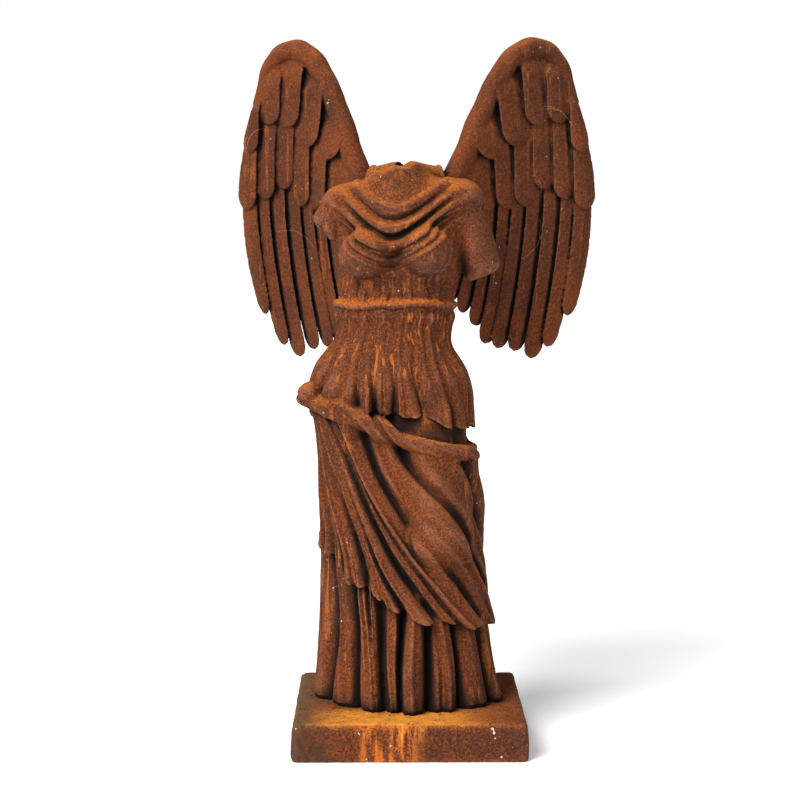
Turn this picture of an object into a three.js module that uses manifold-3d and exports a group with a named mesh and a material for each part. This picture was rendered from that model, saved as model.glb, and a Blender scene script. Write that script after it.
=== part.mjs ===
// Cast iron garden statue: a standing winged figure in classical dress, without head or arms,
// on a square plinth. Millimetres, +Z up. The origin is the middle of the plinth's underside,
// and the figure faces -Y, turned a little towards -X.

import * as THREE from 'three';
import { ParametricGeometry } from 'three/addons/geometries/ParametricGeometry.js';
import { mergeVertices } from 'three/addons/utils/BufferGeometryUtils.js';
import Module from 'manifold-3d';

const wasm = await Module();
wasm.setup();

// Driving dimensions

const PLINTH_SIDE = 400;
const PLINTH_HEIGHT = 65;
const PLINTH_CORNER = 14;
const PLINTH_EDGE = 5;
const PLINTH_TAPER = 0.018;

const TURN = THREE.MathUtils.degToRad( - 7 );

const NECK_BREAK = 990;
const NECKLINE = 962;
const CHEST_HEIGHT = 885;
const GIRDLE_HEIGHT = 754;
const OVERFOLD_HEM = 566;
const MANTLE_TOP = 545;
const MANTLE_HEM = 258;
const CLOTH = 4;
const GIRDLE_RADIUS = 6;
const ROLL_RADIUS = 15;

const WING_CENTRE = - 14;
const WING_ROOT = new THREE.Vector2( 46, 84 );
const WING_SWEEP = THREE.MathUtils.degToRad( 28 );
const WING_SEAM = 12;
const WING_GAP = 0.3;
const WING_SPAN = 330;

const SKIRT_FLUTES = 15;
const MANTLE_FOLDS = 15;
const OVERFOLD_FOLDS = 13;
const GATHERS = 18;
const COWL_FOLDS = 4;

const FLIGHT_FEATHERS = 10;
const GREATER_COVERTS = 8;
const LESSER_COVERTS = 7;

const TAU = 2 * Math.PI;
const FRONT = 1.5 * Math.PI;

// Small helpers for blending, steps and folds

const clamp = THREE.MathUtils.clamp;

const smoothStep = ( low, high, x ) => {

	const t = clamp( ( x - low ) / ( high - low ), 0, 1 );
	return t * t * ( 3 - 2 * t );

};

const bump = ( x, centre, width ) => Math.exp( - ( ( ( x - centre ) / width ) ** 2 ) );

const smoothMin = ( a, b, k ) => {

	const h = clamp( 0.5 + 0.5 * ( b - a ) / k, 0, 1 );
	return b + ( a - b ) * h - k * h * ( 1 - h );

};

const smoothMax = ( a, b, k ) => - smoothMin( - a, - b, k );

const pleat = ( u, power = 0.75 ) => Math.abs( Math.sin( Math.PI * u ) ) ** power;

const lean = ( u, amount ) => u + amount * Math.sin( TAU * u );

// The height of the fold that x falls in, 0 in the creases at whole numbers. No two folds in a row
// are alike: their heights and the places of their crests differ.

const fold = ( x, seed ) => {

	const number = Math.floor( x );
	const crest = 0.5 + 0.15 * Math.sin( 3.7 * number + 1.3 * seed );
	const height = 0.76 + 0.28 * Math.sin( 2.4 * number + seed );
	const along = ( x - number ) ** ( Math.log( 0.5 ) / Math.log( crest ) );
	return height * pleat( along, 0.8 );

};

// A smooth curve through a few keys, level with its neighbours' slope

const curve = ( keys ) => {

	const slope = keys.map( ( key, i ) => {

		const before = keys[ Math.max( i - 1, 0 ) ];
		const after = keys[ Math.min( i + 1, keys.length - 1 ) ];
		return ( after[ 1 ] - before[ 1 ] ) / ( after[ 0 ] - before[ 0 ] );

	} );

	return ( at ) => {

		const x = clamp( at, keys[ 0 ][ 0 ], keys[ keys.length - 1 ][ 0 ] );
		let i = 0;
		while ( i < keys.length - 2 && x > keys[ i + 1 ][ 0 ] ) i ++;
		const [ x0, y0 ] = keys[ i ];
		const [ x1, y1 ] = keys[ i + 1 ];
		const h = x1 - x0;
		const t = ( x - x0 ) / h;
		return ( 1 + 2 * t ) * ( 1 - t ) ** 2 * y0 + t * ( 1 - t ) ** 2 * h * slope[ i ]
			+ t * t * ( 3 - 2 * t ) * y1 + t * t * ( t - 1 ) * h * slope[ i + 1 ];

	};

};

// The body under the dress: round forms blended into each other

const roundForms = [
	{ name: 'ribs', centre: [ - 14, 8, 862 ], radii: [ 108, 78, 118 ], blend: 0 },
	{ name: 'waist', centre: [ - 25, 5, 735 ], radii: [ 93, 69, 100 ], blend: 30 },
	{ name: 'belly', centre: [ - 30, - 28, 655 ], radii: [ 76, 49, 64 ], blend: 26 },
	{ name: 'pelvis', centre: [ - 34, 6, 625 ], radii: [ 124, 84, 86 ], blend: 34 },
	{ name: 'left buttock', centre: [ - 84, 52, 606 ], radii: [ 58, 46, 60 ], blend: 22 },
	{ name: 'right buttock', centre: [ 20, 50, 594 ], radii: [ 58, 46, 60 ], blend: 22 },
	{ name: 'left breast', centre: [ - 65, - 58, 841 ], radii: [ 42, 38, 41 ], blend: 12 },
	{ name: 'right breast', centre: [ 35, - 58, 846 ], radii: [ 42, 38, 41 ], blend: 12 },
];

const limbForms = [
	{ name: 'shoulders', from: [ - 112, 10, 917 ], to: [ 86, 10, 927 ], radii: [ 40, 40 ], blend: 36 },
	{ name: 'neck', from: [ - 14, 12, 930 ], to: [ - 17, 2, 1012 ], radii: [ 50, 37 ], blend: 26 },
	{ name: 'left thigh', from: [ - 88, 2, 600 ], to: [ - 68, - 6, 355 ], radii: [ 74, 48 ], blend: 24 },
	{ name: 'left shin', from: [ - 68, - 6, 355 ], to: [ - 54, 14, 110 ], radii: [ 46, 30 ], blend: 18 },
	{ name: 'right thigh', from: [ 24, - 4, 598 ], to: [ 58, - 78, 362 ], radii: [ 72, 47 ], blend: 24 },
	{ name: 'right shin', from: [ 58, - 74, 362 ], to: [ 88, 8, 110 ], radii: [ 44, 28 ], blend: 18 },
];

const roundDistance = ( p, form ) => {

	const q = p.map( ( v, i ) => ( v - form.centre[ i ] ) / form.radii[ i ] );
	const scaled = Math.hypot( ...q );
	const slope = Math.hypot( ...q.map( ( v, i ) => v / form.radii[ i ] ) );
	return scaled * ( scaled - 1 ) / Math.max( slope, 1e-9 );

};

const limbDistance = ( p, form ) => {

	const axis = form.to.map( ( v, i ) => v - form.from[ i ] );
	const reach = p.map( ( v, i ) => v - form.from[ i ] );
	const along = axis.reduce( ( sum, v, i ) => sum + v * reach[ i ], 0 ) / Math.hypot( ...axis ) ** 2;
	const t = clamp( along, 0, 1 );
	const across = Math.hypot( ...reach.map( ( v, i ) => v - t * axis[ i ] ) );
	return across - ( form.radii[ 0 ] + ( form.radii[ 1 ] - form.radii[ 0 ] ) * t );

};

const neckBreak = ( x, y ) => NECK_BREAK + 0.16 * ( x - WING_CENTRE ) + 0.10 * y
	+ 2.4 * Math.sin( x * 0.17 + y * 0.05 ) + 1.8 * Math.sin( y * 0.21 - x * 0.08 + 1 );

const bodyDistance = ( p ) => {

	let d = Infinity;
	for ( const form of roundForms ) {

		const next = roundDistance( p, form );
		d = form.blend ? smoothMin( d, next, form.blend ) : next;

	}

	for ( const form of limbForms ) d = smoothMin( d, limbDistance( p, form ), form.blend );
	return smoothMax( d, p[ 2 ] - neckBreak( p[ 0 ], p[ 1 ] ), 4 );

};

// The figure is measured outwards from a line that follows its middle

const middleX = curve( [
	[ 65, 0 ], [ 350, - 14 ], [ 600, - 34 ], [ 735, - 25 ], [ 862, - 14 ], [ 1000, - 14 ] ] );
const middleY = curve( [
	[ 65, 4 ], [ 350, 0 ], [ 600, 4 ], [ 735, 5 ], [ 862, 6 ], [ 1000, 8 ] ] );

const RAY_START = 240;
const RAY_STEPS = 26;

const castRadius = ( theta, z, elevation ) => {

	const from = [ middleX( z ), middleY( z ), z ];
	const ray = [
		Math.cos( theta ) * Math.cos( elevation ),
		Math.sin( theta ) * Math.cos( elevation ),
		Math.sin( elevation ),
	];
	let r = RAY_START;
	for ( let i = 0; i < RAY_STEPS; i ++ ) {

		const s = bodyDistance( from.map( ( v, k ) => v + ray[ k ] * r ) );
		r = Math.max( r - s * ( s > 0 ? 0.92 : 0.6 ), 1 );

	}

	return r;

};

// The dress: close over the body above the hips, and hung from them in flutes below

const skirtSide = curve( [
	[ 65, 158 ], [ 130, 147 ], [ 220, 139 ], [ 350, 132 ], [ 480, 124 ], [ 600, 104 ], [ 660, 76 ] ] );
const skirtFront = curve( [
	[ 65, 136 ], [ 130, 124 ], [ 220, 112 ], [ 350, 100 ], [ 480, 90 ], [ 600, 70 ], [ 660, 44 ] ] );
const skirtBack = curve( [
	[ 65, 142 ], [ 130, 130 ], [ 220, 118 ], [ 350, 106 ], [ 480, 98 ], [ 600, 80 ], [ 660, 54 ] ] );

const HIP_HEIGHT = 660;

const fromFront = ( theta ) => ( ( theta - FRONT + Math.PI ) % TAU + TAU ) % TAU - Math.PI;

const skirtRadius = ( t, z ) => {

	const depth = Math.sin( t ) < 0 ? skirtFront( z ) : skirtBack( z );
	return 1 / Math.hypot( Math.cos( t ) / skirtSide( z ), Math.sin( t ) / depth );

};

// A closed surface round the figure, as a solid for the joins

const solidOf = ( geometry ) => {

	geometry.deleteAttribute( 'normal' );
	geometry.deleteAttribute( 'uv' );
	const merged = mergeVertices( geometry, 1e-4 );
	const points = merged.attributes.position.array;
	const corners = [];
	let volume = 0;
	for ( let i = 0; i < merged.index.count; i += 3 ) {

		const [ a, b, c ] = [ 0, 1, 2 ].map( ( k ) => merged.index.getX( i + k ) );
		if ( a === b || b === c || c === a ) continue;
		corners.push( a, b, c );
		const [ p, q, r ] = [ a, b, c ].map( ( k ) => new THREE.Vector3().fromArray( points, 3 * k ) );
		volume += p.dot( q.cross( r ) );

	}

	if ( volume < 0 ) corners.reverse();
	return new wasm.Manifold( new wasm.Mesh( {
		numProp: 3,
		vertProperties: new Float32Array( points ),
		triVerts: new Uint32Array( corners ),
	} ) );

};

// Round the figure, u runs from 0 to 1 and folds keep to lines of equal u, so each fold has its own
// columns of faces. The columns stand closer together on the front.

const BACK_THINNING = 0.28;

const roundTo = ( u ) => {

	const w = TAU * ( u >= 1 ? 0 : u );
	return FRONT + Math.PI + w + BACK_THINNING * Math.sin( w );

};

const onFigure = ( t, z, r, target ) => target.set(
	middleX( z ) + Math.cos( t ) * r, middleY( z ) + Math.sin( t ) * r, z );

const bodyRadius = ( t, z ) => castRadius( t, z, 0 ) + CLOTH;

const baseRadius = ( t, z ) => {

	const body = bodyRadius( t, z );
	return z < HIP_HEIGHT ? smoothMax( body, skirtRadius( t, z ), 18 ) : body;

};

// The mantle's edges: the rolled top dips from the left hip to the right thigh, the hem follows it

const mantleTop = ( f ) => MANTLE_TOP - 50 * Math.sin( f + 0.15 ) + 12 * ( 1 - Math.cos( f ) )
	+ 5 * Math.sin( 2 * f + 1 );

const mantleHem = ( f ) => MANTLE_HEM - 74 * Math.sin( f - 0.15 ) - 22 * Math.cos( 2 * f + 0.3 );

// The skirt's flutes, calm where the mantle lies over them

const FLUTE_DEPTH = 10;
const FLUTE_FLARE = 19;

const fluteTurn = ( u, z ) => {

	const w = TAU * u;
	return 0.07 * Math.sin( 3 * w + 1.1 ) + 0.03 * Math.sin( 5 * w + 2.7 ) + 0.022 * Math.sin( 8 * w + 1 )
		+ 0.00026 * ( z - 300 ) * Math.sin( 2 * w + 0.5 ) + 0.05 * Math.sin( 0.012 * z + 3 * w );

};

// Where another layer covers the skirt it is tucked in, so that it never shows through

const TUCK = 10;

const covered = ( f, z ) => {

	const byMantle = smoothStep( 15, 50, z - mantleHem( f ) ) * smoothStep( 0, - 25, z - mantleTop( f ) );
	const byOverfold = smoothStep( OVERFOLD_HEM + 10, OVERFOLD_HEM + 35, z );
	return Math.min( byMantle + byOverfold, 1 );

};

const fluteLift = ( u, t, z ) => {

	const w = TAU * u;
	const f = fromFront( t );
	const strength = 0.9 + 0.15 * Math.sin( 3 * w + 0.007 * z + 2.2 )
		+ 0.12 * Math.sin( 5 * w - 0.012 * z + 0.3 );
	const deep = FLUTE_DEPTH + FLUTE_FLARE * smoothStep( 480, 150, z );
	const flutes = ( fold( SKIRT_FLUTES * u, 1 ) - 0.6 ) * deep * strength;
	return flutes * ( 1 - covered( f, z ) );

};

const FACES_PER_FOLD = 3;
const SKIRT_LEVELS = [ 65, 65, 72, 115, 170, 230, 300, 390, 606, 606 ];

const makeSkirt = () => solidOf( new ParametricGeometry( ( u, v, target ) => {

	const row = Math.round( v * ( SKIRT_LEVELS.length - 1 ) );
	const z = SKIRT_LEVELS[ row ];
	const t = roundTo( u ) + fluteTurn( u >= 1 ? 0 : u, z );
	const pole = row === 0 || row === SKIRT_LEVELS.length - 1;
	const hung = skirtRadius( t, z ) + fluteLift( u >= 1 ? 0 : u, t, z ) * smoothStep( 650, 560, z );
	const r = smoothMax( bodyRadius( t, z ), hung, 10 ) - TUCK * covered( fromFront( t ), z );
	onFigure( t, z, pole ? 0 : r - ( row === 1 ? 4 : 0 ), target );

}, FACES_PER_FOLD * SKIRT_FLUTES, SKIRT_LEVELS.length - 1 ) );

// The torso. Up to the chest its rows are level; above, they tilt up to the neck like a fan.
// Rows on the chest hang in curves, so that each fold of the cowl has its own rows.

const FAN_RADIUS = 90;
const FAN_TOP = CHEST_HEIGHT + FAN_RADIUS * Math.PI / 2;
const COWL_LOW = 905;

const COWL_WIDTH = 0.86;
const COWL_MIDDLE = - 0.1;
const COWL_DEPTH = 17;
const cowlDip = curve( [
	[ 740, 0 ], [ 790, 16 ], [ COWL_LOW, 84 ], [ NECKLINE, 30 ], [ 984, 0 ], [ 1030, 0 ] ] );

const chestLift = ( u, f, height ) => {

	const w = TAU * u;
	const aside = Math.abs( f );
	const down = ( NECKLINE - height ) / ( NECKLINE - COWL_LOW ) * COWL_FOLDS;
	const cowl = smoothStep( - 0.1, 0.3, down ) * smoothStep( 5, 3.5, down ) * smoothStep( 1.5, 0.95, aside );
	const hanging = ( fold( down, 4 ) - 0.5 ) * ( COWL_DEPTH + 3 * Math.sin( 2 * w + down ) ) * cowl;

	const gathers = ( pleat( GATHERS * u, 0.9 ) - 0.6 ) * 7 * bump( height, 778, 30 );
	const blouse = 5 * bump( height, 773, 15 );

	const behind = smoothStep( 1.3, 2.0, aside ) * smoothStep( 750, 800, height ) * smoothStep( 955, 920, height );
	const straight = ( pleat( lean( GATHERS * u / 2 + 0.25, 0.1 ), 0.8 ) - 0.7 ) * 7 * behind;

	const fromGirdle = Math.abs( height - GIRDLE_HEIGHT );
	const girdle = GIRDLE_RADIUS * smoothStep( GIRDLE_RADIUS, GIRDLE_RADIUS - 2, fromGirdle );
	const tuck = TUCK * smoothStep( GIRDLE_HEIGHT - 10, GIRDLE_HEIGHT - 30, height );
	const neckHem = 4 * smoothStep( NECKLINE + 3, NECKLINE - 1, height );
	return hanging + gathers + blouse + straight + girdle - tuck + neckHem;

};

const COWL_ROWS = Array.from( { length: 2 * COWL_FOLDS + 1 }, ( _, i ) =>
	COWL_LOW + ( NECKLINE - COWL_LOW ) * i / ( 2 * COWL_FOLDS ) );
const TORSO_LEVELS = [
	596, 596, 740, GIRDLE_HEIGHT - 5, GIRDLE_HEIGHT - 3, GIRDLE_HEIGHT + 3, GIRDLE_HEIGHT + 5,
	770, 784, 804, 832, 868, ...COWL_ROWS, NECKLINE + 4, 975, 990, 1006, FAN_TOP ];

const makeTorso = () => solidOf( new ParametricGeometry( ( u, v, target ) => {

	const row = Math.round( v * ( TORSO_LEVELS.length - 1 ) );
	const height = TORSO_LEVELS[ row ];
	const t = roundTo( u );
	const f = fromFront( t );
	const drop = height - cowlDip( height ) * bump( f, COWL_MIDDLE, COWL_WIDTH );
	const z = Math.min( drop, CHEST_HEIGHT );
	const tilt = Math.max( drop - CHEST_HEIGHT, 0 ) / FAN_RADIUS;
	if ( row === 0 ) {

		onFigure( t, height, 0, target );
		return;

	}

	const last = row === TORSO_LEVELS.length - 1;
	const outwards = new THREE.Vector3( 0, 0, 1 );
	const level = Math.cos( tilt );
	if ( ! last ) outwards.set( Math.cos( t ) * level, Math.sin( t ) * level, Math.sin( tilt ) );
	const dressed = smoothStep( 984, 970, height );
	const r = castRadius( last ? 0 : t, z, last ? Math.PI / 2 : tilt )
		+ chestLift( u >= 1 ? 0 : u, f, height ) * dressed;
	target.set( middleX( z ), middleY( z ), z ).addScaledVector( outwards, r );

}, 2 * GATHERS, TORSO_LEVELS.length - 1 ) );

// A layer of cloth over the dress. Its folds run from the top edge to the hem; it is closed inside.

const layer = ( { folds, rows, place, core } ) => solidOf( new ParametricGeometry( ( u, v, target ) => {

	const row = Math.round( v * ( rows + 5 ) );
	const s = clamp( 1 - ( row - 3 ) / rows, 0, 1 );
	const { t, z, r } = place( u >= 1 ? 0 : u, s );
	if ( row === 0 ) onFigure( t, core[ 0 ], 0, target );
	else if ( row === 1 ) onFigure( t, z + 10, r * 0.6, target );
	else if ( row === 2 ) onFigure( t, z + 3, r * 0.965, target );
	else if ( row === rows + 4 ) onFigure( t, z, r * 0.55, target );
	else if ( row === rows + 5 ) onFigure( t, core[ 1 ], 0, target );
	else onFigure( t, z, r, target );

}, FACES_PER_FOLD * folds, rows + 5 ) );

// The overfold of the dress, from the girdle to the hips

const OVERFOLD_DEPTH = 20;

const overfoldPlace = ( u, s ) => {

	const w = TAU * u;
	const t = roundTo( u ) + 0.06 * Math.sin( 3 * w + 0.8 ) + 0.035 * Math.sin( 5 * w + 2.1 )
		+ 0.02 * Math.sin( 8 * w + 0.5 ) + 0.07 * s * Math.sin( 2 * w + 1 );
	const f = fromFront( t );
	const narrow = pleat( 2 * OVERFOLD_FOLDS * u, 0.85 );
	const wide = fold( OVERFOLD_FOLDS * u, 2 );
	const top = GIRDLE_HEIGHT - 2;
	const hem = OVERFOLD_HEM - 12 * Math.sin( f - 0.4 ) + 8 * Math.cos( 2 * f )
		+ 4 * Math.sin( 5 * w + 1 ) - 12 * wide;
	const z = top + ( hem - top ) * s;
	const calm = 1 - 0.75 * bump( f, - 0.1, 0.55 ) * bump( z, 664, 50 );
	const low = smoothStep( 0.3, 1, s );
	const lift = 2.5 + 7 * bump( s, 0.06, 0.07 ) + ( narrow - 0.6 ) * ( 6 - 4 * low ) * calm
		+ ( wide - 0.5 ) * OVERFOLD_DEPTH * low ** 1.3 * calm + 9 * low ** 1.6;
	return { t, z, r: baseRadius( t, z ) + lift };

};

// The mantle, wrapped low round the hips: its folds fan out from the gathering on the left hip,
// and run from where they start on the top edge to where they end at the hem

const GATHER_ANGLE = - 1.3;
const UNROLLED = 125;
const MANTLE_DEPTH = 23;

const mantleEnd = ( u ) => GATHER_ANGLE + TAU * u - 0.35 * ( Math.sin( TAU * u - 1.2 ) + Math.sin( 1.2 ) )
	+ 0.045 * ( Math.sin( 5 * TAU * u + 1 ) - Math.sin( 1 ) );

const mantleStart = curve( [
	[ GATHER_ANGLE, GATHER_ANGLE ], [ - 0.2, - 1.12 ], [ 1, - 0.8 ], [ 2, 0.3 ], [ 3.14, 2.2 ],
	[ GATHER_ANGLE + TAU, GATHER_ANGLE + TAU ] ] );

const mantlePlace = ( u, s ) => {

	const w = TAU * u;
	const angle = ( at ) => mantleStart( mantleEnd( at ) ) * ( 1 - s ** 1.25 ) + mantleEnd( at ) * s ** 1.25;
	const start = mantleStart( mantleEnd( u ) );
	const end = mantleEnd( u );
	const f = angle( u ) + 0.035 * Math.sin( 5 * s + 3 * w ) * Math.sin( Math.PI * s );
	const width = ( angle( u + 0.004 ) - angle( u - 0.004 ) ) / 0.008 * UNROLLED / MANTLE_FOLDS;
	const wide = fold( MANTLE_FOLDS * u, 3 );
	const narrow = pleat( 2 * MANTLE_FOLDS * u, 0.85 );
	const top = mantleTop( start );
	const hem = mantleHem( end ) - 15 * wide * smoothStep( 0, 0.04, u ) * smoothStep( 1, 0.96, u );
	const z = top + ( hem - top ) * s;
	const knee = bump( f, 0.42, 0.36 ) * bump( z, 385, 80 );
	const strength = 0.95 + 0.15 * Math.sin( 5 * w + 1 ) + 0.1 * Math.sin( 9 * w + 2 * s );
	const depth = clamp( 0.55 * width, 4, MANTLE_DEPTH ) * strength * ( 1 - 0.65 * knee );
	const lift = 11 + ( wide - 0.6 ) * depth + ( narrow - 0.6 ) * depth * 0.22 + 4 * smoothStep( 0.85, 1, s );
	const t = f + FRONT;
	return { t, z, r: baseRadius( t, z ) + lift };

};

// The mantle's rolled top edge, a twisted rope of cloth

const rollRadius = ( f, a ) => {

	const twist = pleat( ( 2 * a + 9 * f ) / TAU + 0.15 * Math.sin( 4 * f ), 0.8 );
	const size = ROLL_RADIUS + 3.5 * Math.sin( 2 * f + 2.2 ) + 2 * Math.sin( 5 * f + 2 );
	return size * ( 1 + 0.3 * ( twist - 0.6 ) );

};

const ROLL_OUT = 9;

const makeRoll = () => solidOf( new ParametricGeometry( ( u, v, target ) => {

	const t = roundTo( u );
	const f = fromFront( t );
	const a = ( v >= 1 ? 0 : v ) * TAU;
	const middle = mantleTop( f );
	const size = rollRadius( f, a );
	const r = baseRadius( t, middle ) + ROLL_OUT + Math.cos( a ) * size;
	onFigure( t, middle + Math.sin( a ) * size, r, target );

}, 32, 5 ) );

// The knot of cloth on the left hip, where the mantle is gathered

const KNOT = { angle: - 1.28, rise: 4, out: 6, radii: [ 25, 30, 22 ] };

const makeKnot = () => solidOf( new ParametricGeometry( ( u, v, target ) => {

	const a = ( u >= 1 ? 0 : u ) * TAU;
	const b = Math.PI * ( v - 0.5 );
	const t = FRONT + KNOT.angle;
	const z = mantleTop( KNOT.angle ) + KNOT.rise;
	const ring = v === 0 || v === 1 ? 0 : Math.cos( b );
	const swell = 1 + 0.10 * Math.sin( 3 * a + 4 * b );
	onFigure( t, z, baseRadius( t, z ) + KNOT.out, target );
	target.x += KNOT.radii[ 0 ] * Math.cos( a ) * ring * swell;
	target.y += KNOT.radii[ 1 ] * Math.sin( a ) * ring * swell;
	target.z += KNOT.radii[ 2 ] * Math.sin( v === 0 ? - Math.PI / 2 : b );

}, 9, 6 ) );

// The broken arms: short stubs with ragged ends

const armStubs = [
	{ from: [ 84, 10, 922 ], to: [ 130, 16, 803 ], radii: [ 41, 33 ], seed: 1 },
	{ from: [ - 108, 10, 914 ], to: [ - 146, 4, 874 ], radii: [ 41, 37 ], seed: 2.2 },
];

const RAGGED = 5;

const makeStub = ( { from, to, radii, seed } ) => {

	const rows = 6;
	const start = new THREE.Vector3( ...from );
	const axis = new THREE.Vector3( ...to ).sub( start );
	const length = axis.length();
	axis.normalize();
	const side = new THREE.Vector3( 0, 1, 0 ).cross( axis ).normalize();
	const other = new THREE.Vector3().crossVectors( axis, side );
	return solidOf( new ParametricGeometry( ( u, v, target ) => {

		const a = ( u >= 1 ? 0 : u ) * TAU;
		const row = Math.round( v * rows );
		const s = clamp( ( row - 1 ) / ( rows - 3 ), 0, 1 );
		const swell = 1 + 0.06 * Math.sin( Math.PI * s );
		const inset = [ 0, 1, 1, 1, 1, 0.72, 0 ][ row ];
		const r = ( radii[ 0 ] + ( radii[ 1 ] - radii[ 0 ] ) * s ) * swell * inset;
		const torn = RAGGED * ( Math.sin( 3 * a + seed ) * 0.6 + Math.sin( 5 * a + 2 * seed ) * 0.4 );
		const along = length * s + torn * smoothStep( 0.8, 1, s ) * inset - ( row > 4 ? 4 * ( 1 - inset ) : 0 );
		target.copy( start ).addScaledVector( axis, along );
		target.addScaledVector( side, Math.cos( a ) * r ).addScaledVector( other, Math.sin( a ) * r );

	}, 9, rows ) );

};

// Wings: an arched arm along the top and three rows of feathers that hang from it

const ARM_KEYS = [
	[ 0, 925 ], [ 52, 985 ], [ 100, 1085 ], [ 152, 1172 ], [ 202, 1203 ], [ 246, 1180 ], [ 276, 1105 ],
];
const TIP_KEYS = [
	[ 12, 812 ], [ 46, 752 ], [ 88, 708 ], [ 134, 672 ], [ 184, 650 ], [ 238, 664 ], [ 292, 740 ],
];
const ARM_RADII = [ 27, 23, 21, 19, 18, 14, 8 ];

const byKey = ( values ) => curve( values.map( ( value, key ) => [ key, value ] ) );
const armOut = byKey( ARM_KEYS.map( ( key ) => key[ 0 ] ) );
const armUp = byKey( ARM_KEYS.map( ( key ) => key[ 1 ] ) );
const tipOut = byKey( TIP_KEYS.map( ( key ) => key[ 0 ] ) );
const tipUp = byKey( TIP_KEYS.map( ( key ) => key[ 1 ] ) );
const armRadius = byKey( ARM_RADII );
const LAST_KEY = ARM_KEYS.length - 1;

const onWing = ( side, out, up, forward, target ) => {

	const camber = 30 * Math.sin( Math.PI * clamp( out / WING_SPAN, 0, 1.2 ) )
		+ 34 * clamp( ( 1050 - up ) / 420, 0, 1.3 ) ** 2 - 10;
	const back = camber - forward;
	const x = WING_ROOT.x + out * Math.cos( WING_SWEEP ) - back * Math.sin( WING_SWEEP );
	const y = WING_ROOT.y + out * Math.sin( WING_SWEEP ) + back * Math.cos( WING_SWEEP );
	return target.set( WING_CENTRE + side * x, y, up );

};

// A row of feathers is one sheet of overlapping vanes: each vane is high at its leading side and dips
// under the next, and its end is round

const vane = [
	{ at: 0, high: 0.95, short: 1 },
	{ at: 0.45, high: 1.05, short: 0 },
	{ at: 0.96, high: 0, short: 1 },
];

const featherRows = [
	{ count: FLIGHT_FEATHERS, reach: 1, notch: 0.085, floor: 1, back: 6,
		levels: [ 0, 0.42, 0.78, 0.94, 1 ], behind: [ 0.7, 0.3 ] },
	{ count: GREATER_COVERTS, reach: 0.5, notch: 0.15, floor: 8, back: 0,
		levels: [ 0, 0.55, 0.9, 1 ], behind: [ 0.5 ] },
	{ count: LESSER_COVERTS, reach: 0.27, notch: 0.2, floor: 14, back: - 2,
		levels: [ 0, 0.6, 1 ], behind: [ 0.5 ] },
];

const VANE_RELIEF = 7;
const FEATHER_BOW = [ 24, 9 ];

const makeFeathers = ( side, row, rank ) => {

	const columns = row.count * vane.length + 1;
	const loop = [ ...row.levels.map( ( s ) => [ s, 1 ] ), ...row.behind.map( ( s ) => [ s, - 1 ] ) ];
	return solidOf( new ParametricGeometry( ( u, v, target ) => {

		const column = Math.round( u * columns );
		const [ s, face ] = loop[ Math.round( v * loop.length ) % loop.length ];
		const inside = clamp( column - 1, 0, columns - 2 );
		const number = Math.floor( inside / vane.length );
		const edge = vane[ inside % vane.length ];
		const key = LAST_KEY * clamp( ( number + edge.at ) / ( row.count - 0.04 ), 0, 1 );
		const uneven = ( rank ? 0.03 : 0.012 ) * Math.sin( number * 1.9 + rank );
		const reach = ( row.reach + uneven ) * ( 1 - row.notch * edge.short );
		const run = reach * ( column === 0 || column === columns ? 0.5 : s );
		const bow = 4 * run * ( 1 - run );
		const out = armOut( key ) + ( tipOut( key ) - armOut( key ) ) * run + FEATHER_BOW[ 0 ] * bow;
		const up = armUp( key ) + ( tipUp( key ) - armUp( key ) ) * run + FEATHER_BOW[ 1 ] * bow;
		const end = column === 0 || column === columns;
		const front = ( row.floor + VANE_RELIEF * edge.high ) * smoothStep( - 0.15, 0.25, s );
		const forward = end ? ( row.floor - row.back ) / 2 : face > 0 ? front : - row.back;
		onWing( side, out, up, forward, target );

	}, columns, loop.length ) );

};

const makeArm = ( side ) => {

	const rows = 12;
	return solidOf( new ParametricGeometry( ( u, v, target ) => {

		const a = ( u >= 1 ? 0 : u ) * TAU;
		const row = Math.round( v * rows );
		const key = clamp( ( row - 1 ) / ( rows - 2 ), 0, 1 ) * LAST_KEY;
		const tangent = new THREE.Vector2(
			armOut( key + 0.01 ) - armOut( key - 0.01 ), armUp( key + 0.01 ) - armUp( key - 0.01 ) ).normalize();
		const r = row === 0 || row === rows ? 0 : armRadius( key );
		const out = armOut( key ) + tangent.y * r * Math.cos( a ) - ( row === 0 ? 20 : row === 1 ? 20 : 0 );
		const up = armUp( key ) - tangent.x * r * Math.cos( a ) - ( row < 2 ? 22 : 0 );
		onWing( side, out, up, r * Math.sin( a ) * 0.92, target );

	}, 7, rows ) );

};

const joined = ( solids ) => solids.reduce( ( whole, solid ) => whole.add( solid ) );

const wingBlock = ( side, from, to ) => {

	const width = to - from;
	const box = new THREE.BoxGeometry( width, 900, 900 );
	box.translate( from + width / 2, 0, 950 );
	box.rotateZ( WING_SWEEP );
	box.translate( WING_ROOT.x, WING_ROOT.y, 0 );
	box.scale( side, 1, 1 );
	box.translate( WING_CENTRE, 0, 0 );
	return solidOf( box );

};

const makeWing = ( side ) => {

	const solids = [ makeArm( side ), ...featherRows.map( ( row, rank ) => makeFeathers( side, row, rank ) ) ];
	return joined( solids ).intersect( wingBlock( side, WING_SEAM, WING_SEAM + 700 ) );

};

// The stubs on the figure's back that carry the wings, cut flat a hair short of them

const BOSS = { up: 940, reach: 60, half: [ 31, 52 ] };

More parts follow.
